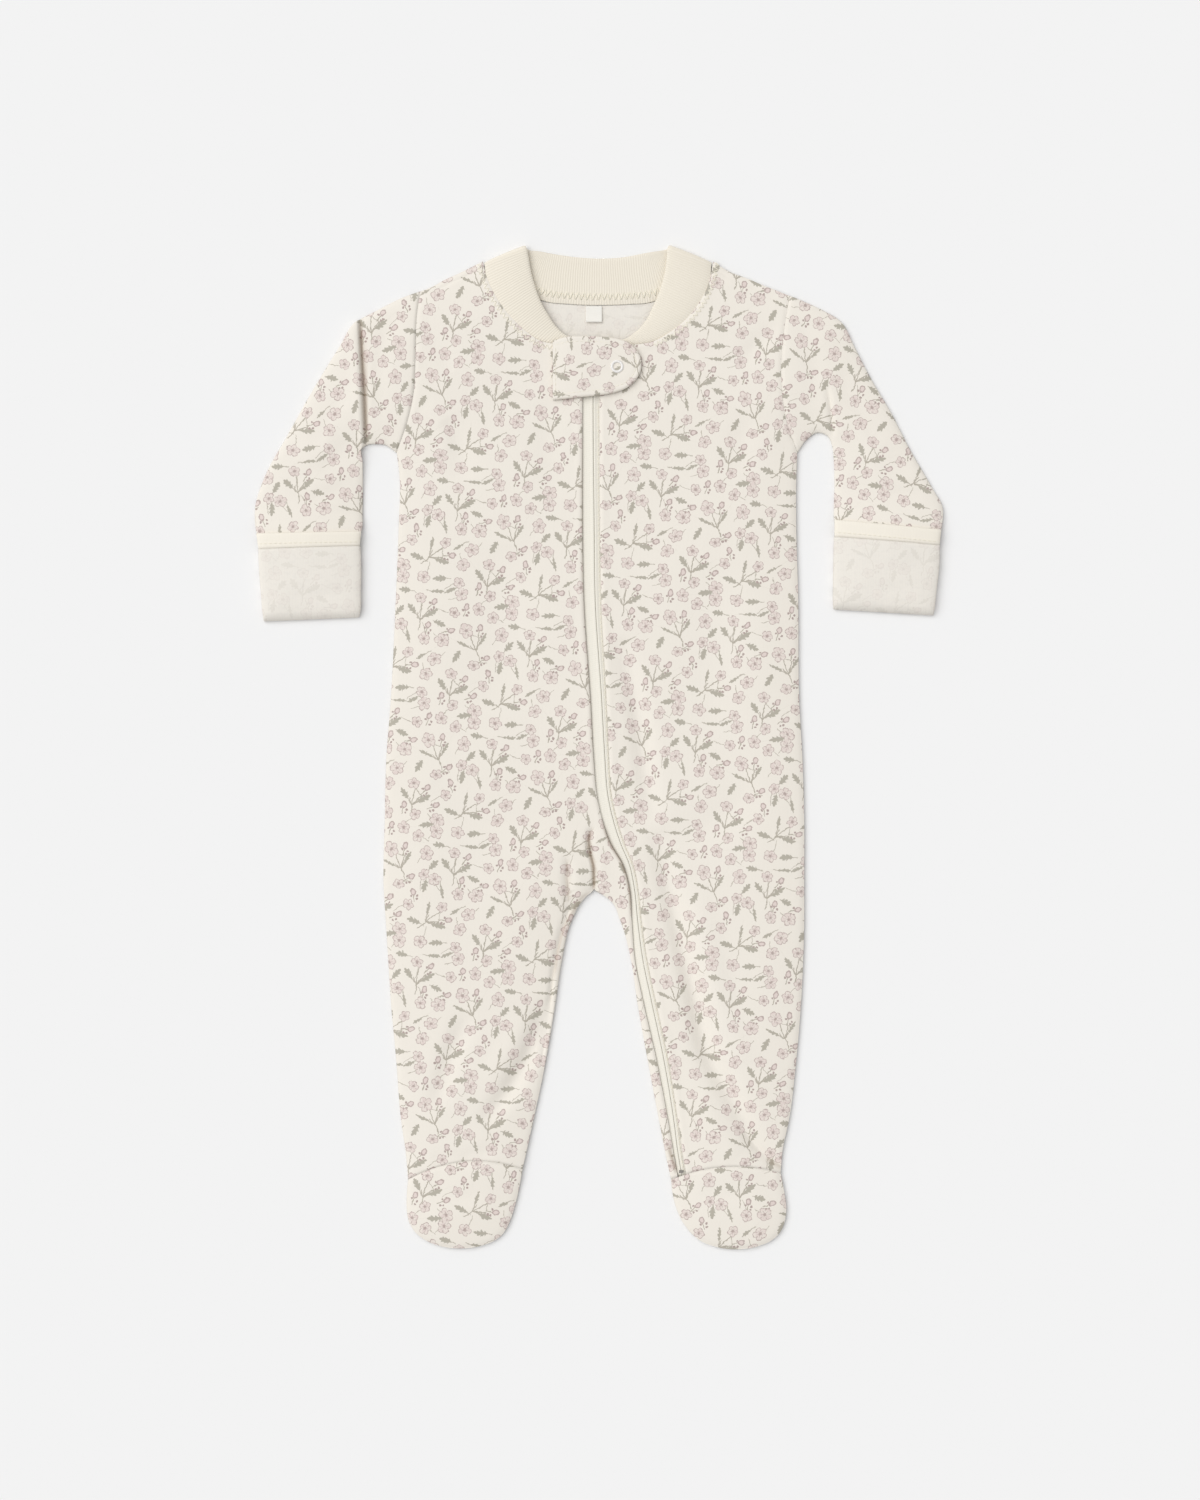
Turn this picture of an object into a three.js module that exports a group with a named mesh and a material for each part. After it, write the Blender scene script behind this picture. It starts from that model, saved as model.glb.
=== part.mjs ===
// A footed baby sleepsuit laid flat, face up, on a level surface. Sizes are in millimetres.
// +X is the image right, +Y points to the neck and +Z up from the surface, which is z = 0.
// "Left" and "right" in the names are the image's, seen from above.
import * as THREE from 'three';

// Driving sizes
const CLOTH = 1.2; // wall of the knitted cloth
const SEAM = 0.3; // space left at every seam and between layers that lie on each other
const EDGE_LIFT = 0.8; // how far the back rises off the surface at the outline
const EDGE_ROLL = 8; // width of the strip along the outline that rises
const PUFF = 3.2; // how much higher the front lies inside the outline than at its edge
const PUFF_REACH = 34; // distance from the outline at which it is at its highest
const ZIP_LIFT = 2.2; // least height of the front over the back beside the zip
const ZIP_REACH = 9; // half width of the strip that the zip lifts
const ZIP_EDGE_FADE = 1.5; // width beside the outline over which that lift starts
const TAPE = 1; // wall of the zip's tapes
const TAPE_LAP = 1.5; // width of tape hidden under each front panel
const STRIP_LAP = 0.4; // most of that, as a share of the strip beside the zip on the right leg
const TAPE_DROP = 0.5; // how far the tapes lie under the panels
const COIL_BULGE = 0.8; // extra height over the closed coil
const COIL_HALF = 2.1; // half width of the closed coil
const MITTEN_LIFT = 1.6; // height of the sleeve's end above the mitten's back
const BINDING = 2; // folded binding on the mitten's free edge
const BAND = 1.8; // doubled rib of the neckband
const BAND_ARCH = 0.9; // how far the middle of the band stands above its edges
const BAND_FULL = 20; // width at which the band has its whole arch
const TAB = 2; // doubled cloth of the chin tab
const TAB_LIFT = 1.2; // room under the tab for the snap and the slider
const TAB_RAMP = 14; // length over which the tab rises from where it is sewn on
const LABEL = { x: -3, y: 259.8, wide: 9.6, long: 9.8, thick: 1 };
const SNAP = { x: 10.8, y: 227.7, ring: 3.2, wire: 0.7, stud: 3.6, studHigh: 0.9, sides: 24 };
const SLIDER = { y: 222, wide: 5.8, long: 9, high: 1.6, corner: 1.5 };
const PULL = { wide: 4, long: 10, high: 1, corner: 1.2 };
const STOP = { x: 49.2, y: -253.8, wide: 2.6, long: 1.6, high: 1.2 };

// Colours
const PRINTED = 0xe4ddd1;
const WRONG_SIDE = 0xe9e4da;
const CREAM = 0xeee8d6;
const TAPE_CREAM = 0xebe6d6;
const LABEL_WHITE = 0xf2efe8;
const PEARL = 0xf4f2ee;
const METAL = 0x8f8a84;
const KNIT = { roughness: 0.9, metalness: 0 };
const SATIN = { roughness: 0.35, metalness: 0 };
const STEEL = { roughness: 0.35, metalness: 0.9 };

// A table is a list of column names and a row for each section, read back as objects.
function table(columns, rows) {
  const names = columns.split(' ');
  return rows.map((row) => Object.fromEntries(names.map((name, i) => [name, row[i]])));
}

// Outer sides of the body and legs, from the armpits to the ankles
const SIDES = table('y left right', [
  [177, -121.2, 118.8],
  [160.5, -119.4, 118.2],
  [133.5, -120, 118.2],
  [88.5, -121.8, 119.4],
  [28.5, -124.8, 120],
  [-7.5, -127.5, 122],
  [-43.5, -128.4, 123],
  [-84.9, -129, 123],
  [-103.5, -127.8, 123],
  [-127.5, -126.3, 122.4],
  [-151.5, -124.8, 121.2],
  [-187.5, -121.5, 118.2],
  [-223.5, -118.6, 114],
  [-243, -115.8, 111.2],
  [-258.9, -114.4, 110],
]);

// Inner sides of the legs, from the crotch to the ankles
const CROTCH = { x: -3, y: -84.9 };
const INSEAMS = table('y left right', [
  [CROTCH.y, CROTCH.x, CROTCH.x],
  [-91.5, -9.6, 6.6],
  [-103.5, -16.2, 12.6],
  [-127.5, -22.2, 19.2],
  [-151.5, -25.8, 22.8],
  [-187.5, -31.8, 29.2],
  [-223.5, -39, 36],
  [-243, -42.8, 39.8],
  [-258.9, -45.8, 43.2],
]);

// The zip: edge of the left front, line of the coil, edge of the right front
const ZIP = table('y left coil right', [
  [240.9, -9.6, -1.8, 1.4],
  [177, -9.4, -1.8, 1.4],
  [88.5, -8.4, -1.2, 2.4],
  [28.5, -4.8, 2.7, 5.8],
  [-7.5, -3, 4.5, 7.2],
  [-28, -1.2, 5.7, 8],
  [-43.5, 2, 8.6, 11],
  [-57.9, 6.9, 13.2, 15.6],
  [-70, 14, 18.2, 20.6],
  [-84.9, 18.1, 21.3, 23.7],
  [-103.5, 19.5, 23.2, 25.6],
  [-127.5, 21.4, 26.4, 29.1],
  [-151.5, 26.2, 31.4, 34],
  [-187.5, 34.4, 39, 41.7],
  [-223.5, 41.2, 44.9, 47.2],
  [-243, 44.4, 47.4, 49.8],
  [-254.8, 46.4, 49.4, 51.6],
]);

// Armhole seams, from the armpit to the top of the shoulder
const ARMHOLES = table('leftX leftY rightX rightY', [
  [-121.2, 177, 118.8, 177],
  [-114.6, 195.3, 112.2, 195.3],
  [-111, 211.5, 109.6, 211.5],
  [-109.8, 232.5, 109, 232.5],
  [-109.2, 256.5, 111.6, 256.5],
  [-107.2, 273.2, 114.2, 270.6],
]);

// Shoulder edges, from beside the armhole to the neck
const SHOULDERS = table('leftX leftY rightX rightY', [
  [-99.6, 276.3, 106, 274],
  [-92, 280.5, 97.5, 277.3],
  [-85.2, 283.5, 89, 281],
  [-76.5, 287.8, 77.5, 285.4],
  [-69.6, 291.3, 68.4, 291.3],
]);

// Front neck seam, from the zip round to the shoulder
const NECK_FRONT = table('leftX leftY rightX rightY', [
  [-9.6, 240.9, 1.4, 240.9],
  [-23.4, 241.3, 19, 241],
  [-34.8, 243.3, 31.8, 242.9],
  [-43.2, 248.7, 42.6, 248.7],
  [-50.4, 255.3, 51, 255.3],
  [-57.6, 263.7, 58.2, 263.7],
  [-63.6, 273.3, 63, 271.5],
  [-67.8, 283.5, 66.6, 281.7],
  [-69.6, 291.3, 68.4, 291.3],
]);

// Back neck seam, from its middle round to the shoulder
const NECK_BACK = table('leftX leftY rightX rightY', [
  [0.6, 264.9, 0.6, 264.9],
  [-17.4, 265.5, 18.6, 265.5],
  [-34.8, 267.9, 31.8, 266.9],
  [-47.4, 273.3, 45.6, 272.7],
  [-59.4, 281.7, 57.6, 281.7],
  [-65.4, 286.1, 63.8, 286],
  [-71.4, 290.4, 70.2, 290.1],
]);

// The ankle seam on each side, a shallow arch over the foot
const ANKLES = {
  left: { a: [-114.4, -258.9], b: [-45.8, -252.6], bow: 8 },
  right: { a: [43.2, -258.9], b: [110, -256], bow: 6 },
};
const ARCH_START = -190; // height above which the rows of the legs run straight across

// Feet below the ankle seam; bow is how far each row arches towards the neck
const FEET = {
  left: table('aX aY bX bY bow', [
    [-115.2, -268, -47.8, -264, 4],
    [-115.2, -277, -50.4, -274.6, 1],
    [-113.6, -285, -53.4, -284, -1],
    [-109.5, -291.2, -57.6, -291.4, -2.4],
    [-103, -295.8, -64, -296.2, -2.6],
    [-95.5, -298.7, -72, -299, -1.4],
  ]),
  right: table('aX aY bX bY bow', [
    [44.2, -268, 111.5, -266, 3],
    [46.3, -276, 112.3, -276, 1],
    [49.6, -283.5, 111.2, -284.5, -1],
    [54.3, -290, 108, -291.2, -2.4],
    [61, -295.8, 102, -296.2, -2.8],
    [69, -299, 94, -299.3, -1.6],
  ]),
};

// Sleeves from beside the armhole to their open end inside the mitten. The lower left sleeve lies folded
// over the upper one along a crease, which its rise gives; lift is what the mitten's back adds under it.
const SLEEVES = {
  left: table('inX inY outX outY rise lift', [
    [-128, 181.6, -120, 268.4, 0, 0],
    [-134, 182.2, -132.6, 261.9, 0, 0],
    [-140, 181.2, -143.4, 256.3, 0, 0],
    [-141.7, 179.9, -145.6, 255, 2.6, 0],
    [-141.7, 171.5, -156, 239, 1.9, 0],
    [-141.7, 162, -171, 214.5, 0.9, 0],
    [-141.8, 153, -186, 187.8, 0, 0],
    [-142, 145, -200.4, 161.4, 0, 0],
    [-142.1, 139, -205.8, 144, 0, 0.3],
    [-142.2, 131.6, -205.3, 131, 0, MITTEN_LIFT],
    [-144.9, 122.4, -202.2, 120.5, 0, MITTEN_LIFT],
    [-144.9, 94, -200, 93.2, 0, MITTEN_LIFT],
  ]),
  right: table('inX inY outX outY rise lift', [
    [124.2, 184.5, 124, 266.5, 0, 0],
    [130, 188.9, 133.8, 261.9, 0, 0],
    [136.4, 187.6, 145.2, 254.7, 0, 0],
    [139.7, 181.6, 153.5, 239, 0, 0],
    [140.9, 172.5, 163, 220.5, 0, 0],
    [141.3, 163, 174, 202, 0, 0],
    [141.4, 154, 186.5, 177.8, 0, 0],
    [141.2, 147.5, 200, 154.6, 0, 0],
    [141.1, 143, 205.5, 144.6, 0, 0.3],
    [141, 138, 205.2, 133, 0, MITTEN_LIFT],
    [142.7, 128.5, 202.2, 122, 0, MITTEN_LIFT],
    [142.4, 98.4, 199.8, 96, 0, MITTEN_LIFT],
  ]),
};
const SLEEVE_ROWS_INSIDE = 2; // rows at the end of each sleeve that lie inside the mitten

// Mittens from the binding to the fold at the bottom; sink is how far the front has come down
const MITTENS = {
  left: table('inX inY outX outY sink', [
    [-143.2, 120.8, -203.9, 118.8, 0],
    [-142.7, 107, -203.4, 106.5, 0],
    [-142.9, 92.4, -202.2, 91.4, 0],
    [-143, 84.6, -201.5, 83.2, 1.6],
    [-144.2, 78, -200.6, 75.6, 2.8],
  ]),
  right: table('inX inY outX outY sink', [
    [141, 126.2, 203.9, 121.2, 0],
    [140.7, 110, 203.6, 108, 0],
    [140.5, 97, 202, 94.2, 0],
    [140.4, 89.8, 201.2, 86.6, 1.6],
    [140.8, 82.8, 200, 79.2, 2.8],
  ]),
};

// The top edge of each binding
const BINDING_TOPS = {
  left: { a: [-142.3, 129.4], b: [-205.2, 128.2] },
  right: { a: [141, 136.4], b: [205, 130.4] },
};

// The neckband's seam edge and free edge in plan, as three runs: from the zip's left side up to the left
// shoulder, along the back, and from the right shoulder down to the zip. dip is how far the band has sunk
// below the front panels, and fall how much lower its free edge is than its seam edge.
const BAND_RUNS = {
  left: table('seamX seamY freeX freeY dip fall', [
    [-10, 241.2, -10, 244, 1.2, 0.2],
    [-23.4, 241.6, -19, 246.6, 1.2, 0.4],
    [-34.8, 243.7, -25.5, 252, 0.8, 0.6],
    [-43.2, 249.1, -30.6, 259.4, 0.3, 0.6],
    [-50.2, 255.7, -34.8, 267, 0, 0.5],
    [-57.3, 264, -38.2, 276, 0, 0.3],
    [-63.2, 273.4, -40.8, 285.4, 0, 0],
    [-67.3, 283.3, -42.2, 294, 0, 0],
    [-68.4, 289, -43, 298.2, 0, 0],
  ]),
  back: table('seamX seamY freeX freeY dip fall', [
    [-64, 286, -40.8, 298, 0, 0],
    [-59.4, 282.2, -38.4, 297.8, 0, -0.3],
    [-47.4, 273.8, -34, 297.2, 0, -0.6],
    [-34.8, 268.3, -29, 296.2, 0, -0.6],
    [-17.4, 265.9, -15, 294.1, 0, -0.6],
    [0.6, 265.3, 0.6, 293.1, 0, -0.6],
    [18.6, 265.9, 15.6, 294.1, 0, -0.6],
    [31.8, 267.3, 27.6, 296.4, 0, -0.6],
    [45.6, 273.2, 33, 297.3, 0, -0.6],
    [57.6, 282.2, 36.8, 297.9, 0, -0.3],
    [62.8, 286.2, 38.8, 298.2, 0, 0],
  ]),
  right: table('seamX seamY freeX freeY dip fall', [
    [67.2, 289, 40.8, 298.4, 0, 0],
    [66.1, 281.6, 40.4, 291.6, 0, 0],
    [62.6, 271.7, 39, 282.6, 0, 0],
    [57.9, 264, 36.4, 273.6, 0, 0.3],
    [50.8, 255.7, 32.8, 265.2, 0, 0.5],
    [42.4, 249.1, 28.4, 256.2, 0.3, 0.6],
    [31.6, 243.3, 22, 249, 0.8, 0.6],
    [19, 241.4, 15, 244.6, 1.2, 0.4],
    [1.8, 241.2, 1.8, 244, 1.2, 0.2],
  ]),
};
const FOLD_TURNS = [36, 72, 108, 144]; // degrees that the band has turned at each step of a shoulder fold

// The chin tab, from where it is sewn on to its round free end
const CHIN_TAB = table('x low high', [
  [-27.6, 207.8, 243.4],
  [-20, 208.5, 245.4],
  [-8.4, 209.7, 245.9],
  [0.6, 210.6, 245.6],
  [10, 212.4, 244.6],
  [17, 215.2, 242.4],
  [22, 219.8, 238.4],
  [24.6, 224.2, 234],
  [25.3, 227.2, 231],
]);

// Places of the grid points across each kind of piece, as fractions of its width
const ACROSS_BODY = [0, 0.05, 0.16, 0.4, 0.7, 0.92, 1];
const ACROSS_STRIP = [0, 0.5, 1];
const ACROSS_SLEEVE = [0, 0.06, 0.3, 0.7, 0.94, 1];
const ACROSS_TAB = [0, 0.08, 0.35, 0.65, 0.92, 1];

const mix = (a, b, t) => a + (b - a) * t;
const mixPoint = (p, q, t) => p.map((value, i) => mix(value, q[i], t));
const clamp01 = (t) => Math.min(Math.max(t, 0), 1);
const last = (list) => list[list.length - 1];
const backwards = (list) => [...list].reverse();

// The two columns of a table that hold a line of points, such as leftX and leftY
const line = (rows, name) => rows.map((row) => [row[`${name}X`], row[`${name}Y`]]);

// Reads a column of a table that runs downwards at a height y, in a straight line between its rows
function columnAt(rows, name, y) {
  const found = rows.findIndex((row) => row.y <= y);
  const i = found < 0 ? rows.length - 1 : Math.max(found, 1);
  const [above, below] = [rows[i - 1], rows[i]];
  return mix(above[name], below[name], (above.y - y) / (above.y - below.y));
}
const sideAt = (name) => (y) => [columnAt(SIDES, name, y), y];
const inseamAt = (name) => (y) => [columnAt(INSEAMS, name, y), y];
const zipAt = (name) => (y) => [columnAt(ZIP, name, y), y];

// A row across a piece runs from a to b and arches by bow; this is its point at fraction f.
function pointOn({ a, b, bow = 0 }, f) {
  const [x, y] = mixPoint(a, b, f);
  return [x, y + bow * 4 * f * (1 - f)];
}
const footRows = (name) => FEET[name].map(({ aX, aY, bX, bY, bow }) => (
  { a: [aX, aY], b: [bX, bY], bow }
));
const sleeveRows = (name) => SLEEVES[name].map((row) => (
  { ...row, a: [row.inX, row.inY], b: [row.outX, row.outY] }
));

// The outline of the garment in plan, all but the neck, from the left shoulder round to the right one
function outline() {
  const feetEdge = (name) => {
    const rows = footRows(name);
    const toe = pointOn(last(rows), 0.5);
    return [...rows.map((row) => row.a), toe, ...backwards(rows).map((row) => row.b)];
  };
  const shown = (name) => SLEEVES[name].slice(0, -SLEEVE_ROWS_INSIDE);
  return [
    ...backwards(line(SHOULDERS, 'left')),
    [last(ARMHOLES).leftX, last(ARMHOLES).leftY],
    ...line(shown('left'), 'out'),
    ...line(MITTENS.left, 'out'),
    ...backwards(line(MITTENS.left, 'in')),
    ...backwards(line(shown('left'), 'in')),
    ...SIDES.map((row) => [row.left, row.y]),
    ...feetEdge('left'),
    ...backwards(INSEAMS.map((row) => [row.left, row.y])),
    ...INSEAMS.slice(1).map((row) => [row.right, row.y]),
    ...feetEdge('right'),
    ...backwards(SIDES.map((row) => [row.right, row.y])),
    ...line(shown('right'), 'in'),
    ...line(MITTENS.right, 'in'),
    ...backwards(line(MITTENS.right, 'out')),
    ...backwards(line(shown('right'), 'out')),
    [last(ARMHOLES).rightX, last(ARMHOLES).rightY],
    ...line(SHOULDERS, 'right'),
  ];
}
const OUTLINE = outline();
const COIL_LINE = ZIP.map((row) => [row.coil, row.y]);

function distanceTo(points, x, y) {
  let nearest = Infinity;
  for (let i = 1; i < points.length; i += 1) {
    const [ax, ay] = points[i - 1];
    const [dx, dy] = [points[i][0] - ax, points[i][1] - ay];
    const t = clamp01(((x - ax) * dx + (y - ay) * dy) / (dx * dx + dy * dy));
    nearest = Math.min(nearest, Math.hypot(x - ax - dx * t, y - ay - dy * t));
  }
  return nearest;
}

// Heights of the layers over a point in plan
function backUnder(x, y) {
  return EDGE_LIFT * clamp01(1 - distanceTo(OUTLINE, x, y) / EDGE_ROLL) ** 2;
}
function frontUnder(x, y) {
  const inside = distanceTo(OUTLINE, x, y);
  const puff = PUFF * (1 - (1 - clamp01(inside / PUFF_REACH)) ** 2);
  const beside = clamp01((ZIP_REACH + TAPE_LAP - distanceTo(COIL_LINE, x, y)) / TAPE_LAP);
  const ridge = ZIP_LIFT * beside * clamp01(inside / ZIP_EDGE_FADE);
  return backUnder(x, y) + CLOTH + SEAM + Math.max(puff, ridge);
}
const raised = (height, by) => (x, y) => height(x, y) + by;
const backTop = raised(backUnder, CLOTH);
const frontTop = raised(frontUnder, CLOTH);
const tapeUnder = raised(frontUnder, -TAPE_DROP - TAPE);
function tapeTop(x, y) {
  const across = distanceTo(COIL_LINE, x, y) / COIL_HALF;
  return tapeUnder(x, y) + TAPE + COIL_BULGE * clamp01(1 - across ** 2);
}
function tabUnder(x, y) {
  return frontTop(x, y) + SEAM + TAB_LIFT * clamp01((x - CHIN_TAB[0].x) / TAB_RAMP);
}

// Turns vertices and triangles into a geometry whose faces look outwards
function solid(vertices, triangles) {
  const corner = (i) => new THREE.Vector3(...vertices[i]);
  let volume = 0;
  for (const [a, b, c] of triangles) volume += corner(a).dot(corner(b).cross(corner(c)));
  const faces = volume < 0 ? triangles.map(([a, b, c]) => [a, c, b]) : triangles;
  const geometry = new THREE.BufferGeometry();
  geometry.setAttribute('position', new THREE.Float32BufferAttribute(vertices.flat(), 3));
  geometry.setIndex(faces.flat());
  geometry.computeVertexNormals();
  return geometry;
}

// The plan grid of a piece: a line of points for each row, one for each fraction
const grid = (rows, fractions) => rows.map((row) => fractions.map((f) => pointOn(row, f)));

// The flat triangles of one or more plan grids, which join where they share points
function planMesh(grids) {
  const numbers = new Map();
  const plan = [];
  const number = (point) => {
    const key = point.map((value) => value.toFixed(3)).join(' ');
    if (!numbers.has(key)) numbers.set(key, plan.push(point) - 1);
    return numbers.get(key);
  };
  const faces = [];
  const addFace = (a, b, c) => {
    if (new Set([a, b, c]).size < 3) return;
    const [p, q, r] = [plan[a], plan[b], plan[c]];
    const turn = (q[0] - p[0]) * (r[1] - p[1]) - (q[1] - p[1]) * (r[0] - p[0]);
    faces.push(turn > 0 ? [a, b, c] : [a, c, b]);
  };
  for (const rows of grids) {
    for (let i = 1; i < rows.length; i += 1) {
      for (let j = 1; j < rows[i].length; j += 1) {
        const corners = [rows[i - 1][j - 1], rows[i - 1][j], rows[i][j], rows[i][j - 1]];
        const [a, b, c, d] = corners.map(number);
        addFace(a, b, c);
        addFace(a, c, d);
      }
    }
  }
  return { plan, faces };
}

// A piece of cloth over plan grids: an underside, a top, and a wall along every edge of one triangle only
function cloth(grids, under, over) {
  const { plan, faces } = planMesh(grids);
  const count = plan.length;
  const edges = new Set(faces.flatMap(([a, b, c]) => [`${a} ${b}`, `${b} ${c}`, `${c} ${a}`]));
  const walls = [];
  for (const edge of edges) {
    const [u, v] = edge.split(' ').map(Number);
    if (!edges.has(`${v} ${u}`)) walls.push([u + count, v + count, v], [u + count, v, u]);
  }
  const vertices = [
    ...plan.map(([x, y]) => [x, y, over(x, y)]),
    ...plan.map(([x, y]) => [x, y, under(x, y)]),
  ];
  const undersides = faces.map(([a, b, c]) => [c + count, b + count, a + count]);
  return solid(vertices, [...faces, ...undersides, ...walls]);
}

// Lofts outer and inner rings into the wall of a tube, open at the far end or closed there by two caps
function tube(outer, inner, closedEnd) {
  const size = outer[0].length;
  const end = outer.length - 1;
  const out = (s, k) => s * size + (k % size);
  const inn = (s, k) => out(outer.length + s, k);
  const triangles = [];
  const quad = (a, b, c, d) => triangles.push([a, b, c], [a, c, d]);
  for (let k = 0; k < size; k += 1) {
    for (let s = 0; s < end; s += 1) {
      quad(out(s, k), out(s, k + 1), out(s + 1, k + 1), out(s + 1, k));
      quad(inn(s, k), inn(s + 1, k), inn(s + 1, k + 1), inn(s, k + 1));
    }
    quad(out(0, k), inn(0, k), inn(0, k + 1), out(0, k + 1));
    if (!closedEnd) quad(out(end, k), out(end, k + 1), inn(end, k + 1), inn(end, k));
  }
  for (let k = 0; closedEnd && k < size / 2 - 1; k += 1) {
    const facing = size - 1 - k;
    quad(out(end, k), out(end, k + 1), out(end, facing - 1), out(end, facing));
    quad(inn(end, k), inn(end, facing), inn(end, facing - 1), inn(end, k + 1));
  }
  return solid([...outer.flat(), ...inner.flat()], triangles);
}

// The ring of a flattened tube at one row of plan points: out along its underside and back along its top
function flatRing(points, under, over) {
  const along = (height) => points.map(([x, y]) => [x, y, height(x, y)]);
  return [...along(under), ...backwards(along(over))];
}

// The same row of points with its ends moved in by the wall
function narrowed(points) {
  const movedIn = (end, next) => (
    mixPoint(end, next, CLOTH / Math.hypot(next[0] - end[0], next[1] - end[1]))
  );
  return [movedIn(points[0], points[1]), ...points.slice(1, -1), movedIn(last(points), points.at(-2))];
}

// A flattened tube of cloth; each section has its plan points and the heights of its underside and top
function flatTube(sections, closedEnd) {
  const outer = sections.map(({ points, under, over }) => flatRing(points, under, over));
  const inner = sections.map(({ points, under, over }, i) => {
    const atCap = closedEnd && i === sections.length - 1;
    const plan = atCap ? points.map(([x, y]) => [x, y + CLOTH]) : points;
    return flatRing(narrowed(plan), raised(under, CLOTH), raised(over, -CLOTH));
  });
  return tube(outer, inner, closedEnd);
}

// The part of an ankle seam between two places given by x
function ankleRow(name, fromX, toX) {
  const { a, b, bow } = ANKLES[name];
  const [from, to] = [fromX, toX].map((x) => (x - a[0]) / (b[0] - a[0]));
  return { a: pointOn(ANKLES[name], from), b: pointOn(ANKLES[name], to), bow: bow * (to - from) ** 2 };
}

// Rows of a leg piece between two edges, from the crotch down to the ankle seam, arching towards it
function legRows(name, edgeA, edgeB) {
  const heights = INSEAMS.map((row) => row.y);
  const ankle = ankleRow(name, edgeA(last(heights))[0], edgeB(last(heights))[0]);
  const arch = (y) => clamp01((y - ARCH_START) / (last(heights) - ARCH_START)) ** 2;
  const straight = heights.slice(0, -1).map((y) => (
    { a: edgeA(y), b: edgeB(y), bow: ankle.bow * arch(y) }
  ));
  return [...straight, ankle];
}

// Rows of the yoke: up the armhole and the shoulder on one side, up an inner edge on the other
function yokeRows(name, innerEdge) {
  const outerEdge = [...line(ARMHOLES, name), ...line(SHOULDERS, name).slice(0, -1), last(innerEdge)];
  return outerEdge.map((a, i) => ({ a, b: innerEdge[i] }));
}

// Heights of the body's rows between the armpits and the crotch
const armpitY = ARMHOLES[0].leftY;
const betweenArmpitAndCrotch = (rows) => (
  rows.map((row) => row.y).filter((y) => y <= armpitY && y >= CROTCH.y)
);
const SIDE_HEIGHTS = betweenArmpitAndCrotch(SIDES);
const FRONT_HEIGHTS = [...new Set([...SIDE_HEIGHTS, ...betweenArmpitAndCrotch(ZIP)])]
  .sort((a, b) => b - a);

function backPanel() {
  const middleOfNeck = line(NECK_BACK, 'left')[0];
  const belowNeck = ARMHOLES.length + SHOULDERS.length - NECK_BACK.length;
  const upTheMiddle = Array.from({ length: belowNeck }, (_, i) => (
    mixPoint([CROTCH.x, armpitY], middleOfNeck, i / belowNeck)
  ));
  const halves = ['left', 'right'].map((name) => {
    const torso = SIDE_HEIGHTS.map((y) => ({ a: sideAt(name)(y), b: [CROTCH.x, y] }));
    const yoke = yokeRows(name, [...upTheMiddle, ...line(NECK_BACK, name)]);
    const leg = legRows(name, sideAt(name), inseamAt(name));
    return [torso, yoke, leg].map((rows) => grid(rows, ACROSS_BODY));
  });
  return cloth(halves.flat(), backUnder, backTop);
}

// The inner edge of a front's yoke: up beside the zip, then round the neck seam
function frontYokeEdge(name) {
  const neck = line(NECK_FRONT, name);
  const besideZip = [armpitY, (armpitY + neck[0][1]) / 2].map(zipAt(name));
  return [...besideZip, ...neck];
}

// The left front also crosses the crotch and runs down the inside of the right leg beside the zip.
function frontLeft() {
  const stripWidth = columnAt(ZIP, 'left', CROTCH.y) - CROTCH.x;
  const torso = FRONT_HEIGHTS.map((y) => {
    const b = zipAt('left')(y);
    return { a: sideAt('left')(y), split: [b[0] - stripWidth, y], b };
  });
  const share = (torso[0].split[0] - torso[0].a[0]) / (torso[0].b[0] - torso[0].a[0]);
  const yoke = yokeRows('left', frontYokeEdge('left')).map((row) => (
    { ...row, split: pointOn(row, share) }
  ));
  const grids = [torso, yoke].flatMap((rows) => [
    grid(rows.map(({ a, split }) => ({ a, b: split })), ACROSS_BODY),
    grid(rows.map(({ split, b }) => ({ a: split, b })), ACROSS_STRIP),
  ]);
  const leg = grid(legRows('left', sideAt('left'), inseamAt('left')), ACROSS_BODY);
  const strip = grid(legRows('right', inseamAt('right'), zipAt('left')), ACROSS_STRIP);
  return cloth([...grids, leg, strip], frontUnder, frontTop);
}

function frontRight() {
  const torso = FRONT_HEIGHTS.map((y) => ({ a: sideAt('right')(y), b: zipAt('right')(y) }));
  const yoke = yokeRows('right', frontYokeEdge('right'));
  const leg = legRows('right', sideAt('right'), zipAt('right'));
  return cloth([torso, yoke, leg].map((rows) => grid(rows, ACROSS_BODY)), frontUnder, frontTop);
}

function sleeve(name) {
  const away = name === 'left' ? -SEAM : SEAM;
  const atArmhole = { points: line(ARMHOLES, name).map(([x, y]) => [x + away, y]), rise: 0, lift: 0 };
  const rows = sleeveRows(name).map((row) => ({ ...row, points: grid([row], ACROSS_SLEEVE)[0] }));
  const sections = [atArmhole, ...rows].map(({ points, rise, lift }) => (
    { points, under: raised(backUnder, rise + lift), over: raised(frontTop, rise + lift) }
  ));
  return flatTube(sections, false);
}

// The top of what lies over the sleeve's end: the sleeve, a seam's space and one more wall
const overSleeve = MITTEN_LIFT + CLOTH + SEAM;

function mitten(name) {
  const sections = MITTENS[name].map((row) => ({
    points: grid([{ a: [row.inX, row.inY], b: [row.outX, row.outY] }], ACROSS_SLEEVE)[0],
    under: backUnder,
    over: raised(frontTop, overSleeve - row.sink),
  }));
  return flatTube(sections, true);
}

function binding(name) {
  const edge = MITTENS[name][0];
  const bottom = { a: [edge.inX, edge.inY + SEAM], b: [edge.outX, edge.outY + SEAM] };
  const under = raised(frontUnder, overSleeve);
  return cloth([grid([BINDING_TOPS[name], bottom], ACROSS_SLEEVE)], under, raised(under, BINDING));
}

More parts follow.
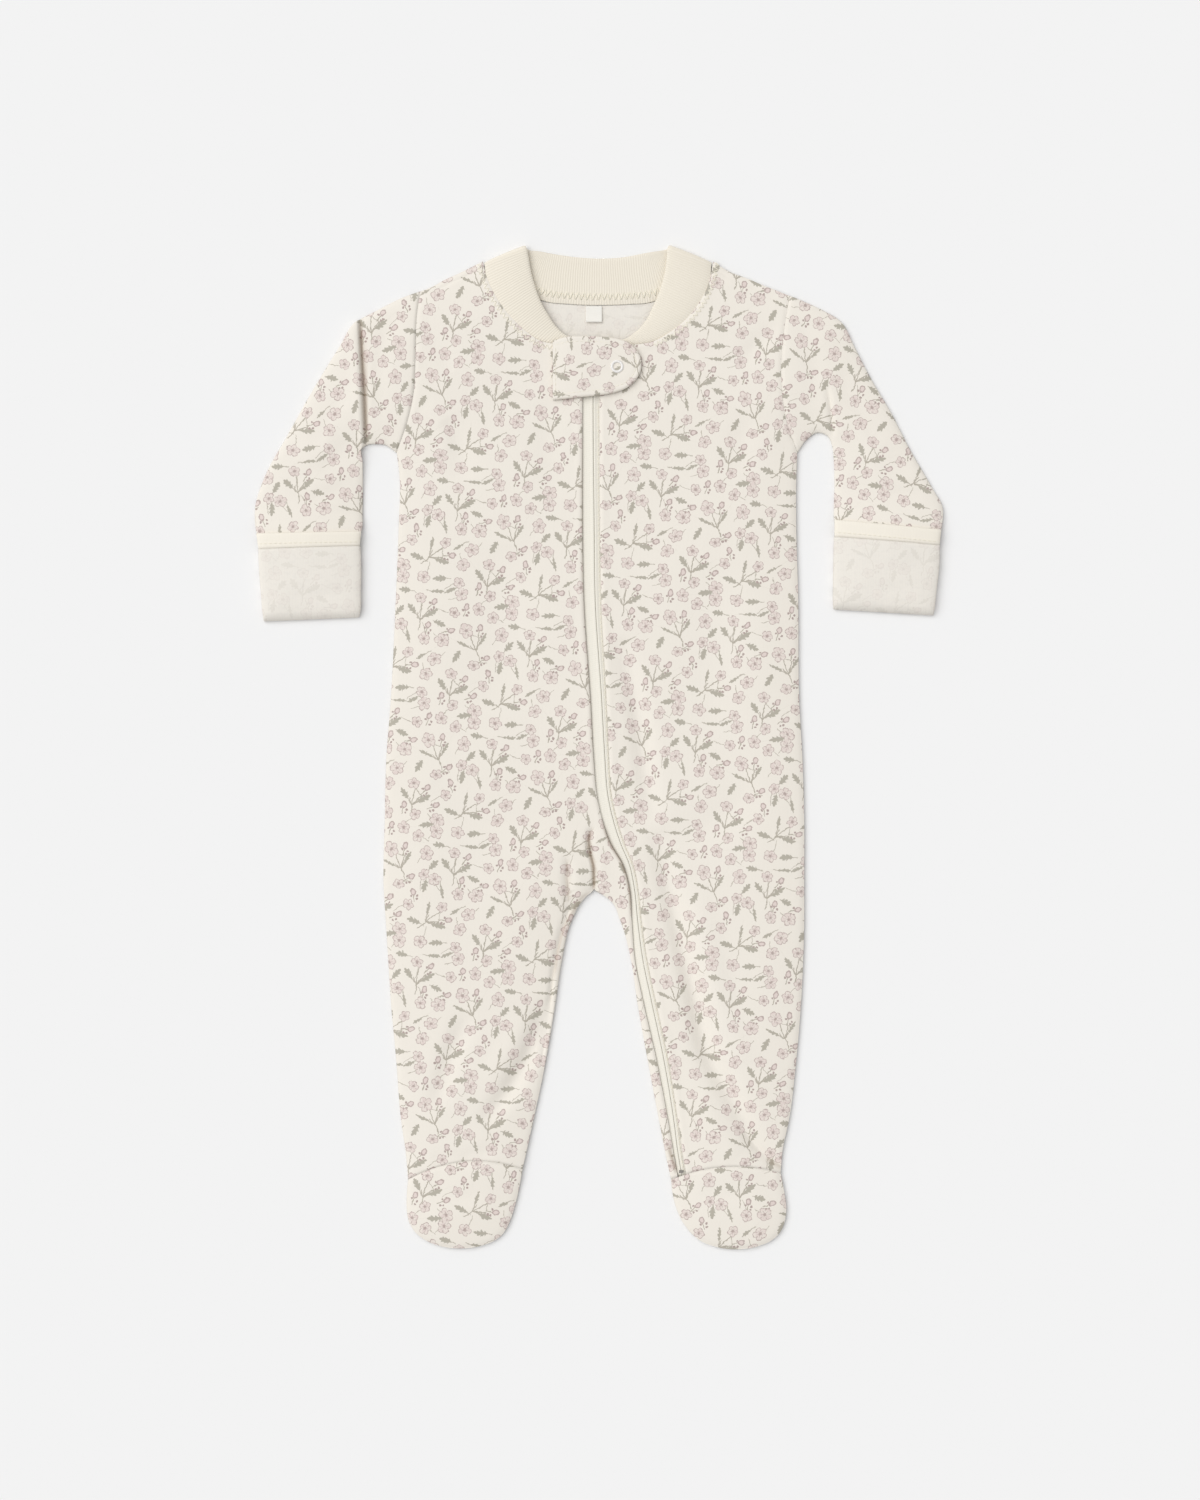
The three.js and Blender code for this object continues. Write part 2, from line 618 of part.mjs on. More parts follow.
// A piece of a foot, a seam's space below the ankle, where its points match those of the leg above it
function footPiece(name, under, fractions) {
  const { a, b, bow } = ANKLES[name];
  const top = { a: [a[0], a[1] - SEAM], b: [b[0], b[1] - SEAM], bow };
  return cloth([grid([top, ...footRows(name)], fractions)], under, raised(under, CLOTH));
}

// Fractions across the right foot that match a leg piece which starts at its far side
const fromFarSide = (share) => backwards(ACROSS_BODY.map((f) => 1 - f * share));
const [stripEnd, zipEnd] = ['left', 'right'].map((name) => (
  (columnAt(ZIP, name, last(INSEAMS).y) - ANKLES.right.a[0]) / (ANKLES.right.b[0] - ANKLES.right.a[0])
));
const ACROSS_FEET = {
  foot_upper_left: ACROSS_BODY,
  sole_left: ACROSS_BODY,
  foot_upper_right: [0, stripEnd / 2, stripEnd, ...fromFarSide(1 - zipEnd)],
  sole_right: fromFarSide(1),
};

// Half of the zip: tape from under a front panel to the middle of the coil, thicker over the coil
function zipTape(name) {
  const away = name === 'left' ? -1 : 1;
  const lap = (row) => {
    const besideStrip = name === 'left' && row.y < CROTCH.y;
    const strip = row.left - columnAt(INSEAMS, 'right', row.y);
    return besideStrip ? Math.min(TAPE_LAP, STRIP_LAP * strip) : TAPE_LAP;
  };
  const rows = ZIP.map((row) => [
    [row[name] + away * lap(row), row.y - SEAM],
    [row.coil + away * COIL_HALF, row.y - SEAM],
    [row.coil + away * SEAM / 2, row.y - SEAM],
  ]);
  return cloth([rows], tapeUnder, tapeTop);
}

// The middle of the neckband's wall at one edge of a section, on the front or the back of the neck
function bandPoint(row, run, edge) {
  const [x, y] = [row[`${edge}X`], row[`${edge}Y`]];
  const fall = edge === 'free' ? row.fall : 0;
  if (run === 'back') return new THREE.Vector3(x, y, backUnder(x, y) + BAND / 2 - fall);
  const under = Math.max(frontUnder(x, y), backUnder(x, y) + BAND + SEAM);
  return new THREE.Vector3(x, y, under + BAND / 2 - row.dip - fall);
}

// A closed section of the band between its seam edge and its free edge, arched where its face looks up
function bandSection(seam, free, outward) {
  const arch = BAND_ARCH * clamp01(outward.z) * clamp01(seam.distanceTo(free) / BAND_FULL);
  const middle = seam.clone().lerp(free, 0.5).addScaledVector(outward, arch);
  const face = [seam, middle, free];
  const shifted = (by) => face.map((p) => p.clone().addScaledVector(outward, by).toArray());
  return [...shifted(BAND / 2), ...backwards(shifted(-BAND / 2))];
}

// The neckband as one strip: its outer face looks up on the front, turns over at each shoulder fold and
// looks down on the back.
function neckband() {
  const up = new THREE.Vector3(0, 0, 1);
  const section = (row, run, facing) => (
    bandSection(bandPoint(row, run, 'seam'), bandPoint(row, run, 'free'), facing)
  );
  const straight = (run) => BAND_RUNS[run].map((row) => section(row, run, up));
  const back = BAND_RUNS.back.map((row) => section(row, 'back', up.clone().negate()));
  const fold = (row) => {
    const [seam, free] = ['seam', 'free'].map((edge) => ({
      front: bandPoint(row, 'front', edge), back: bandPoint(row, 'back', edge),
    }));
    const along = free.front.clone().sub(seam.front).setZ(0).normalize();
    const outwards = new THREE.Vector3(-along.y, along.x, 0).multiplyScalar(Math.sign(along.x));
    return FOLD_TURNS.map((degrees) => {
      const turn = THREE.MathUtils.degToRad(degrees);
      const facing = up.clone().multiplyScalar(Math.cos(turn)).addScaledVector(outwards, Math.sin(turn));
      const [p, q] = [seam, free].map(({ front, back: under }) => (
        front.clone().lerp(under, 0.5).addScaledVector(facing, (front.z - under.z) / 2)
      ));
      return bandSection(p, q, facing);
    });
  };
  const sections = [
    ...straight('left'),
    ...fold(last(BAND_RUNS.left)),
    ...back,
    ...backwards(fold(BAND_RUNS.right[0])),
    ...straight('right'),
  ];
  return strip(sections);
}

// Lofts closed sections into a bar with an end face at each end
function strip(sections) {
  const size = sections[0].length;
  const at = (s, k) => s * size + (k % size);
  const triangles = [];
  for (let s = 1; s < sections.length; s += 1) {
    for (let k = 0; k < size; k += 1) {
      const [a, b, c, d] = [at(s - 1, k), at(s - 1, k + 1), at(s, k + 1), at(s, k)];
      triangles.push([a, b, c], [a, c, d]);
    }
  }
  for (let k = 0; k < size / 2 - 1; k += 1) {
    const facing = size - 1 - k;
    const ends = [k, k + 1, facing - 1, facing];
    const [a, b, c, d] = ends.map((i) => at(0, i));
    const [e, f, g, h] = ends.map((i) => at(sections.length - 1, i));
    triangles.push([a, c, b], [a, d, c], [e, f, g], [e, g, h]);
  }
  return solid(sections.flat(), triangles);
}

function chinTab() {
  const rows = CHIN_TAB.map(({ x, low, high }) => ({ a: [x, low], b: [x, high] }));
  return cloth([grid(rows, ACROSS_TAB)], tabUnder, raised(tabUnder, TAB));
}

function sizeLabel() {
  const { x, y, wide, long, thick } = LABEL;
  const row = (edge) => ({ a: [x - wide / 2, edge], b: [x + wide / 2, edge] });
  const under = raised(backTop, SEAM);
  return cloth([grid([row(y - long / 2), row(y + long / 2)], ACROSS_STRIP)], under, raised(under, thick));
}

// A flat plate with rounded corners, its underside at z = 0
function plate(wide, long, high, corner) {
  const [w, l] = [wide / 2, long / 2];
  const shape = new THREE.Shape();
  shape.moveTo(-w + corner, -l);
  shape.lineTo(w - corner, -l);
  shape.quadraticCurveTo(w, -l, w, -l + corner);
  shape.lineTo(w, l - corner);
  shape.quadraticCurveTo(w, l, w - corner, l);
  shape.lineTo(-w + corner, l);
  shape.quadraticCurveTo(-w, l, -w, l - corner);
  shape.lineTo(-w, -l + corner);
  shape.quadraticCurveTo(-w, -l, -w + corner, -l);
  return new THREE.ExtrudeGeometry(shape, { depth: high, bevelEnabled: false, curveSegments: 3 });
}

const sleepsuit = new THREE.Group();

function add(name, geometry, color, finish, place = [0, 0, 0]) {
  const mesh = new THREE.Mesh(geometry, new THREE.MeshStandardMaterial({ color, ...finish }));
  mesh.name = name;
  mesh.position.set(...place);
  sleepsuit.add(mesh);
}

add('back', backPanel(), PRINTED, KNIT);
add('front_left', frontLeft(), PRINTED, KNIT);
add('front_right', frontRight(), PRINTED, KNIT);
for (const name of ['left', 'right']) {
  add(`sleeve_${name}`, sleeve(name), PRINTED, KNIT);
  add(`mitten_${name}`, mitten(name), WRONG_SIDE, KNIT);
  add(`binding_${name}`, binding(name), CREAM, KNIT);
  for (const [piece, under] of [[`foot_upper_${name}`, frontUnder], [`sole_${name}`, backUnder]]) {
    add(piece, footPiece(name, under, ACROSS_FEET[piece]), PRINTED, KNIT);
  }
  add(`zip_tape_${name}`, zipTape(name), TAPE_CREAM, KNIT);
}
add('neckband', neckband(), CREAM, KNIT);
add('size_label', sizeLabel(), LABEL_WHITE, KNIT);
add('chin_tab', chinTab(), PRINTED, KNIT);

// The snap: a ring on the tab, and its other half on the right front
const snapTab = tabUnder(SNAP.x, SNAP.y) + TAB;
const snapRing = new THREE.TorusGeometry(SNAP.ring, SNAP.wire, 8, SNAP.sides);
add('snap_ring', snapRing, PEARL, SATIN, [SNAP.x, SNAP.y, snapTab + SEAM + SNAP.wire]);
const snapStud = new THREE.CylinderGeometry(SNAP.stud, SNAP.stud, SNAP.studHigh, SNAP.sides);
snapStud.rotateX(Math.PI / 2);
const studMiddle = frontTop(SNAP.x, SNAP.y) + SEAM + SNAP.studHigh / 2;
add('snap_stud', snapStud, PEARL, SATIN, [SNAP.x, SNAP.y, studMiddle]);

// The slider at the top of the zip with its pull laid flat towards the neck, and the stop at the ankle
const [coilX] = zipAt('coil')(SLIDER.y);
const onCoil = tapeTop(coilX, SLIDER.y) + SEAM;
const slider = plate(SLIDER.wide, SLIDER.long, SLIDER.high, SLIDER.corner);
add('zip_slider', slider, METAL, STEEL, [coilX, SLIDER.y, onCoil]);
const pullY = SLIDER.y + SLIDER.long / 2 + SEAM + PULL.long / 2;
const pull = plate(PULL.wide, PULL.long, PULL.high, PULL.corner);
add('zip_pull', pull, METAL, STEEL, [coilX, pullY, onCoil]);
const stop = new THREE.BoxGeometry(STOP.wide, STOP.long, STOP.high);
const stopZ = tapeTop(STOP.x, STOP.y) + SEAM + STOP.high / 2;
add('zip_bottom_stop', stop, METAL, STEEL, [STOP.x, STOP.y, stopZ]);

export default sleepsuit;
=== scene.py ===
"""A footed baby sleepsuit laid flat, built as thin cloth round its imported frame.

The tables are in millimetres in the frame's axes: +X is the image right, +Y points to the neck and +Z up
from the surface that the garment lies on. Left and right are the image's.
"""

import math

import bpy
import numpy as np
from bpy.props import FloatProperty, FloatVectorProperty, IntProperty, PointerProperty
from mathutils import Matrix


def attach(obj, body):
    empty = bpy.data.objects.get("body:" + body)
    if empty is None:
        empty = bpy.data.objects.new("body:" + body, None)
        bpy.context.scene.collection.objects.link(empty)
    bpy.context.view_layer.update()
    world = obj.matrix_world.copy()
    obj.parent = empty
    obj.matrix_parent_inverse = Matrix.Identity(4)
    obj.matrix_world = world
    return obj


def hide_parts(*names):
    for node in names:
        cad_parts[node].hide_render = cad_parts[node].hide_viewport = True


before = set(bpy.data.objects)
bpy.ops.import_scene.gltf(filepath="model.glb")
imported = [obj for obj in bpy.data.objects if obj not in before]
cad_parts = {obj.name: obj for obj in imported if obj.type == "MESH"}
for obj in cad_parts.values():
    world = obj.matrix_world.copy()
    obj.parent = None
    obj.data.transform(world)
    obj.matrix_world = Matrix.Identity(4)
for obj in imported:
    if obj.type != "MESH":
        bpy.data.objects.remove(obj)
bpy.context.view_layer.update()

bl_info = {
    "name": "Footed baby sleepsuit",
    "version": (1, 0, 0),
    "blender": (4, 5, 0),
    "location": "3D View > Sidebar > Sleepsuit",
    "description": "Builds a printed sleepsuit laid flat, piece by piece, round its packed frame",
    "category": "Object",
}

MM = 0.001
UV_NAME = "print"
# Point attribute that holds how much painted shade each place gets inside the narrow folds
FOLD_SHADE_NAME = "fold"


# Tables of the pattern


def table(columns, rows):
    """A table read back as a dictionary of columns."""
    return dict(zip(columns.split(), np.array(rows, float).T))


def places(*points):
    """A list of plan points as an array."""
    return np.array(points, float)


SIDES = table("y left right", [
    (177, -121.2, 118.8),
    (160.5, -119.4, 118.2),
    (133.5, -120, 118.2),
    (88.5, -121.8, 119.4),
    (28.5, -124.8, 120),
    (-7.5, -127.5, 122),
    (-43.5, -128.4, 123),
    (-84.9, -129, 123),
    (-103.5, -127.8, 123),
    (-127.5, -126.3, 122.4),
    (-151.5, -124.8, 121.2),
    (-187.5, -121.5, 118.2),
    (-223.5, -118.6, 114),
    (-243, -115.8, 110.2),
    (-258.9, -114.4, 108.8),
])
CROTCH = places((-3, -84.9))[0]
INSEAMS = table("y left right", [
    (-84.9, -3, -3),
    (-91.5, -9.6, 6.6),
    (-103.5, -16.2, 12.6),
    (-127.5, -22.2, 19.2),
    (-151.5, -25.8, 22.8),
    (-187.5, -31.8, 29.2),
    (-223.5, -39, 36),
    (-243, -42.8, 39.8),
    (-258.9, -45.8, 43.2),
])
ZIP = table("y left coil right", [
    (240.9, -9.8, -3.6, 0.4),
    (177, -10, -3.3, 0.4),
    (132, -10, -2.8, 0.6),
    (88.5, -9.2, -2.2, 1.4),
    (28.5, -5.2, 1.7, 4.6),
    (-7.5, -3.2, 3.7, 6.2),
    (-28, -1.4, 5.3, 7.6),
    (-43.5, 2, 8.6, 11),
    (-57.9, 6.9, 13.2, 15.6),
    (-70, 14, 18.2, 20.6),
    (-84.9, 18.1, 21.3, 23.7),
    (-103.5, 19.5, 23.2, 25.6),
    (-127.5, 21.4, 26.4, 29.1),
    (-151.5, 26.2, 31.4, 34),
    (-187.5, 34.4, 39, 41.7),
    (-223.5, 41.2, 44.9, 47.2),
    (-243, 44.4, 47.4, 49.8),
    (-254.8, 46.4, 49.4, 51.6),
])
ARMHOLES = {
    "left": places((-121.2, 177), (-114.6, 195.3), (-111, 211.5), (-109.8, 232.5), (-109.2, 256.5),
                   (-107.2, 273.2)),
    "right": places((118.8, 177), (112.2, 195.3), (109.6, 211.5), (109, 232.5), (111.6, 256.5),
                    (114.2, 270.6)),
}
SHOULDERS = {
    "left": places((-99.6, 276.3), (-92, 280.5), (-85.2, 283.5), (-76.5, 287.8), (-69.6, 291.3)),
    "right": places((106, 274), (97.5, 277.3), (89, 281), (77.5, 285.4), (68.4, 291.3)),
}
NECK_FRONT = {
    "left": places((-9.6, 240.9), (-23.4, 241.3), (-34.8, 243.3), (-43.2, 248.7), (-50.4, 255.3),
                   (-57.6, 263.7), (-63.6, 273.3), (-67.8, 283.5), (-69.6, 291.3)),
    "right": places((1.4, 240.9), (19, 241), (31.8, 242.9), (42.6, 248.7), (51, 255.3), (58.2, 263.7),
                    (63, 271.5), (66.6, 281.7), (68.4, 291.3)),
}
NECK_BACK = {
    "left": places((0.6, 264.9), (-17.4, 265.5), (-34.8, 267.9), (-47.4, 273.3), (-59.4, 281.7),
                   (-65.4, 286.1), (-71.4, 290.4)),
    "right": places((0.6, 264.9), (18.6, 265.5), (31.8, 266.9), (45.6, 272.7), (57.6, 281.7),
                    (63.8, 286), (70.2, 290.1)),
}
# Two ends of each ankle seam and how far it arches over the foot
ANKLES = {
    "left": (places((-114.4, -258.9), (-45.8, -252.6)), 8),
    "right": (places((43.2, -258.9), (108.8, -255)), 6),
}
ARCH_START = -190
FEET = {
    "left": table("aX aY bX bY bow", [
        (-115.2, -268, -47.8, -264, 4),
        (-115.2, -277, -50.4, -274.6, 1),
        (-113.6, -285, -53.4, -284, -1),
        (-109.5, -291.2, -57.6, -291.4, -2.4),
        (-103, -295.8, -64, -296.2, -2.6),
        (-95.5, -298.7, -72, -299, -1.4),
    ]),
    "right": table("aX aY bX bY bow", [
        (44.2, -268, 111, -266, 3),
        (46.3, -276, 112.3, -276, 1),
        (49.6, -283.5, 111.2, -284.5, -1),
        (54.3, -290, 108, -291.2, -2.4),
        (61, -295.8, 102, -296.2, -2.8),
        (69, -299, 94, -299.3, -1.6),
    ]),
}
# Rise is how much higher the cloth lies where the lower sleeve is folded over the upper one, and lift is
# 1 inside the mitt, whose back lies under the sleeve.
SLEEVES = {
    "left": table("inX inY outX outY rise lift", [
        (-128, 181.6, -120, 268.4, 0, 0),
        (-134, 182.2, -132.6, 261.9, 0, 0),
        (-140, 181.2, -143.4, 256.3, 0, 0),
        (-141.7, 179.9, -145.6, 255, 2.6, 0),
        (-141.7, 171.5, -156, 239, 1.9, 0),
        (-141.7, 162, -171, 214.5, 0.9, 0),
        (-141.8, 153, -186, 187.8, 0, 0),
        (-142, 145, -200.4, 161.4, 0, 0),
        (-142.1, 139, -205.8, 144, 0, 0.2),
        (-142.2, 131.6, -205.3, 131, 0, 1),
        (-144.9, 122.4, -202.2, 120.5, 0, 1),
        (-144.9, 94, -200, 93.2, 0, 1),
    ]),
    "right": table("inX inY outX outY rise lift", [
        (124.2, 184.5, 124, 266.5, 0, 0),
        (130, 188.9, 133.8, 261.9, 0, 0),
        (136.4, 187.6, 145.2, 254.7, 0, 0),
        (139.7, 181.6, 153.5, 239, 0, 0),
        (140.9, 172.5, 163, 220.5, 0, 0),
        (141.3, 163, 174, 202, 0, 0),
        (141.4, 154, 186.5, 177.8, 0, 0),
        (141.2, 147.5, 200, 154.6, 0, 0),
        (141.1, 143, 205.5, 144.6, 0, 0.2),
        (141, 138, 205.2, 133, 0, 1),
        (142.7, 128.5, 202.2, 122, 0, 1),
        (142.4, 98.4, 199.8, 96, 0, 1),
    ]),
}
ROWS_IN_MITT = 2
MITTS = {
    "left": table("inX inY outX outY sink", [
        (-143.2, 120.8, -203.9, 118.8, 0),
        (-142.7, 107, -203.4, 106.5, 0),
        (-142.9, 92.4, -202.2, 91.4, 0),
        (-143, 83, -201.4, 81.4, 0.1),
        (-143.6, 80, -200.9, 78, 0.7),
        (-144.2, 78, -200.6, 75.6, 3.4),
    ]),
    "right": table("inX inY outX outY sink", [
        (141, 126.2, 203.9, 121.2, 0),
        (140.7, 110, 203.6, 108, 0),
        (140.5, 97, 202, 94.2, 0),
        (140.4, 88, 201, 84.8, 0.1),
        (140.6, 85, 200.5, 81.6, 0.7),
        (140.8, 82.8, 200, 79.2, 3.4),
    ]),
}
BINDING_TOPS = {
    "left": places((-142.3, 129.4), (-205.2, 128.2)),
    "right": places((141, 136.4), (205, 130.4)),
}
# Seam edge and free edge of the neckband, how far it has sunk below the front panels, and how much lower
# its free edge is than its seam edge
BAND_RUNS = {
    "left": table("seamX seamY freeX freeY dip fall", [
        (-10, 241.2, -10, 244, 1.2, 0.2),
        (-23.4, 241.6, -19, 246.6, 1.2, 0.4),
        (-34.8, 243.7, -25.5, 252, 0.8, 0.6),
        (-43.2, 249.1, -30.6, 259.4, 0.3, 0.6),
        (-50.2, 255.7, -34.8, 267, 0, 0.5),
        (-57.3, 264, -38.2, 276, 0, 0.3),
        (-63.2, 273.4, -40.8, 285.4, 0, 0),
        (-67.3, 283.3, -42.2, 294, 0, 0),
        (-68.4, 289, -43, 298.2, 0, 0),
    ]),
    "back": table("seamX seamY freeX freeY dip fall", [
        (-64, 286, -40.8, 298, 0, 0),
        (-59.4, 282.2, -38.4, 297.8, 0, -0.3),
        (-47.4, 273.8, -34, 297.2, 0, -0.6),
        (-34.8, 268.3, -29, 296.2, 0, -0.6),
        (-17.4, 265.9, -15, 294.1, 0, -0.6),
        (0.6, 265.3, 0.6, 293.1, 0, -0.6),
        (18.6, 265.9, 15.6, 294.1, 0, -0.6),
        (31.8, 267.3, 27.6, 296.4, 0, -0.6),
        (45.6, 273.2, 33, 297.3, 0, -0.6),
        (57.6, 282.2, 36.8, 297.9, 0, -0.3),
        (62.8, 286.2, 38.8, 298.2, 0, 0),
    ]),
    "right": table("seamX seamY freeX freeY dip fall", [
        (67.2, 289, 40.8, 298.4, 0, 0),
        (66.1, 281.6, 40.4, 291.6, 0, 0),
        (62.6, 271.7, 39, 282.6, 0, 0),
        (57.9, 264, 36.4, 273.6, 0, 0.3),
        (50.8, 255.7, 32.8, 265.2, 0, 0.5),
        (42.4, 249.1, 28.4, 256.2, 0.3, 0.6),
        (31.6, 243.3, 22, 249, 0.8, 0.6),
        (19, 241.4, 15, 244.6, 1.2, 0.4),
        (1.8, 241.2, 1.8, 244, 1.2, 0.2),
    ]),
}
CHIN_TAB = table("x low high", [
    (-27.6, 207.8, 243.4),
    (-20, 208.5, 245.4),
    (-8.4, 209.7, 245.9),
    (0.6, 210.6, 245.6),
    (10, 212.4, 244.6),
    (17, 215.2, 242.4),
    (22, 219.8, 238.4),
    (24.6, 224.2, 234),
    (25.3, 227.2, 231),
])
LABEL = {"x": -3, "y": 259.8, "wide": 9.6, "long": 9.8}
SNAP = {"x": 10.8, "y": 227.7}
STOP = {"x": 49.2, "y": -253.8, "rise": 0.7}

# Creases of the cloth: the points along one, its half width, and its depth, which is negative for a ridge
FRONT_CREASES = [
    (places((-3.6, -47), (-6, -54), (-5.8, -59), (-4.8, -65), (-3.4, -70), (-3, -76), (-3.2, -90)), 1.0, 4.4),
    (places((1.5, -50), (0.8, -60), (1.5, -72), (2.5, -84)), 3.5, -0.4),
    (places((-19.2, -64), (-18.8, -80), (-18.2, -93), (-16.5, -99)), 0.9, 2.6),
    (places((-11, -66), (-11.5, -80), (-12, -94)), 3.2, -0.6),
    (places((-13, -88), (-18, -98), (-22, -109), (-26, -126), (-30, -160), (-35, -192)), 1.0, 1.8),
    (places((13, 66), (19, 40), (25, 10), (28, -16), (33, -44)), 6, 2.6),
    (places((34, -50), (42, -84), (50, -118), (58, -150), (66, -184), (80, -210), (92, -232), (108, -252)),
     6.2, 4.1),
    (places((58, -80), (66, -120), (74, -154), (88, -190)), 7, -1.1),
    (places((84, -226), (95, -240), (110, -251)), 2.1, 1.6),
    (places((60, -206), (72, -228), (84, -243)), 5, -0.7),
    (places((-30, -150), (-42, -184), (-52, -202), (-70, -226)), 5.5, 3.1),
    (places((-44, -160), (-54, -180), (-66, -200)), 6, -0.7),
    (places((-78, -160), (-88, -184), (-98, -216)), 6, 2.2),
    (places((-60, -238), (-78, -246), (-100, -246)), 5, 0.9),
    (places((62, -262), (76, -268), (92, -266)), 5, 0.6),
    (places((-104, -262), (-88, -270), (-70, -268)), 5, 0.7),
    (places((-92, 196), (-84, 182), (-82, 160)), 8, 1.1),
    (places((-104, 204), (-96, 196), (-90, 176)), 5, -0.6),
    (places((92, 200), (86, 184), (84, 164)), 9, 1.1),
    (places((-60, 120), (-56, 70), (-62, 20)), 16, 1.0),
    (places((66, 110), (70, 60), (64, 0)), 16, 1.0),
    (places((-100, -20), (-70, -42), (-30, -52)), 11, 1.0),
    (places((96, -24), (66, -46), (40, -54)), 11, 1.0),
    (places((-24, 214), (-30, 190), (-26, 150)), 9, 0.8),
    (places((-108, 250), (-96, 240), (-86, 226)), 6, 0.9),
    (places((106, 252), (94, 240), (84, 228)), 6, 0.9),
]
SLEEVE_CREASES = [
    (places((-143.6, 260), (-142.2, 235), (-141, 212), (-139.8, 176)), 1.3, 3.2),
    (places((-120, 262), (-128, 246), (-132, 222), (-131, 196)), 6, 0.9),
    (places((-146, 226), (-158, 200), (-172, 178)), 7, 0.8),
    (places((-148, 186), (-164, 168), (-188, 158)), 7, 0.9),
    (places((-150, 158), (-172, 148), (-196, 150)), 5, 0.7),
    (places((136.2, 218), (138.6, 205), (140.4, 186)), 1.4, 1.3),
    (places((122, 256), (128, 232), (129, 204)), 7, 0.8),
    (places((142, 224), (156, 200), (168, 182)), 7, 0.8),
    (places((146, 190), (164, 172), (186, 164)), 7, 0.9),
    (places((148, 160), (170, 152), (194, 152)), 5, 0.7),
]
MITT_CREASES = [
    (places((-196, 112), (-182, 104), (-160, 108)), 6, 0.5),
    (places((-150, 96), (-168, 90), (-190, 94)), 5, 0.5),
    (places((196, 114), (180, 106), (158, 112)), 6, 0.5),
    (places((150, 100), (170, 94), (192, 98)), 5, 0.5),
]
# Narrow folds whose inside gets painted shade, darker and warmer: the points along one, its half width, and
# how dark its painted shade is
PAINTED_FOLD_SHADES = [
    (places((-3.6, -48), (-6, -54), (-5.8, -59), (-4.8, -65), (-3.4, -70), (-3, -76), (-3.2, -88)),
     0.85, 1.0),
    (places((-19.2, -66), (-18.8, -80), (-18.2, -93)), 0.7, 0.6),
    (places((-4.5, -86), (-10, -89.5), (-15, -97), (-20, -106), (-24, -120), (-27, -140)), 0.9, 0.55),
    (places((1.4, -43), (6.9, -57.9), (14, -70), (18.1, -84.9), (19.3, -102)), 0.75, 0.85),
    (places((-10, 200), (-10, 132), (-9.2, 88.5), (-5.2, 28.5), (-3.2, -7.5), (-1, -30)), 0.6, 0.35),
    (places((-143.2, 258), (-141.8, 235), (-140.4, 212), (-139.4, 182)), 1.1, 1.0),
    (places((100, -246), (105, -249.5), (110, -252)), 1.5, 0.6),
    (places((41.4, -238), (43, -244), (45, -250), (46.4, -255)), 1.2, 0.8),
]


# Settings that a user would change


def length(name, description, default):
    """A length in metres, given in millimetres."""
    return FloatProperty(name=name, description=description, default=default * MM, unit="LENGTH")


def colour(name, description, red, green, blue):
    """A colour, given as the eight-bit values that a screen shows."""
    linear = [((c / 255 + 0.055) / 1.055) ** 2.4 for c in (red, green, blue)]
    return FloatVectorProperty(name=name, description=description, subtype="COLOR", size=3, min=0, max=1,
                               default=linear)


class ClothSettings(bpy.types.PropertyGroup):
    """Sizes of the cloth and of how it lies."""

    wall: length("Knit wall", "Thickness of the knitted cloth", 0.7)
    grid: length("Grid", "Spacing of the points on each piece of cloth", 2.1)
    back_lift: length("Back lift", "Height of the back's edge at the side seams", 1.0)
    edge: length("Edge", "Height of the front's edge at the side seams", 2.2)
    shoulder: length("Edge roll", "Rise of the front over its first few millimetres", 1.0)
    puff: length("Puff", "Further rise of the front to its middle", 2.7)
    puff_reach: length("Puff reach", "Distance from the edge at which the front is highest", 34)
    seam_depth: length("Seam depth", "Depth of the valley along a seam", 1.0)
    mitt_lift: length("Mitt lift", "Height of the sleeve's end over the mitt's back", 1.6)
    band: length("Neckband", "Thickness of the doubled rib", 1.7)
    tab: length("Chin tab", "Thickness of the chin tab", 1.9)
    tape: length("Zip tape", "Thickness of the zip's tape", 0.8)


class PrintSettings(bpy.types.PropertyGroup):
    """Sizes of the flower print."""

    tile: length("Repeat", "Side of the print's repeating square", 69)
    turn: FloatProperty(name="Repeat turn", description="Turn of that square against the grain",
                        default=math.radians(19), subtype="ANGLE")
    flower: length("Flower", "Radius of the larger flowers", 4.4)
    leaf: length("Leaf", "Length of the leaves", 8.4)
    flowers: IntProperty(name="Flowers", description="Flowers in a repeat", default=22)
    leaves: IntProperty(name="Leaves", description="Loose leaves in a repeat", default=9)
    buds: IntProperty(name="Buds", description="Buds in a repeat", default=11)
    sprigs: IntProperty(name="Sprigs", description="Branching sprigs in a repeat", default=4)
    pairs: IntProperty(name="Pairs", description="Two flowers and a leaf together", default=3)
    seed: IntProperty(name="Seed", description="Start of the scatter's random numbers", default=11)


class ColourSettings(bpy.types.PropertyGroup):
    """Colours of the cloth, the print and the trims."""

    cream: colour("Ground", "Ground of the print", 241, 235, 225)
    wrong_side: colour("Wrong side", "Inside of the printed cloth", 240, 235, 226)
    petal: colour("Petal", "Petals", 228, 214, 208)
    petal_line: colour("Petal line", "Outlines and hearts of the flowers", 178, 161, 156)
    leaf: colour("Leaf", "Leaves", 184, 179, 166)
    stem: colour("Stem", "Stems", 183, 176, 163)
    binding: colour("Binding", "Plain binding on the mitts", 246, 240, 228)
    rib: colour("Rib", "Neckband", 242, 235, 221)
    tape: colour("Zip tape", "Tapes of the zip", 242, 238, 227)
    thread: colour("Thread", "Sewing thread", 246, 241, 226)
    label: colour("Label", "Woven label", 246, 243, 236)
    pearl: colour("Pearl", "Ring snap", 240, 237, 232)
    metal: colour("Metal", "Zip slider, pull and stop", 120, 114, 108)
    floor: colour("Floor", "Surface that the garment lies on", 243, 243, 243)


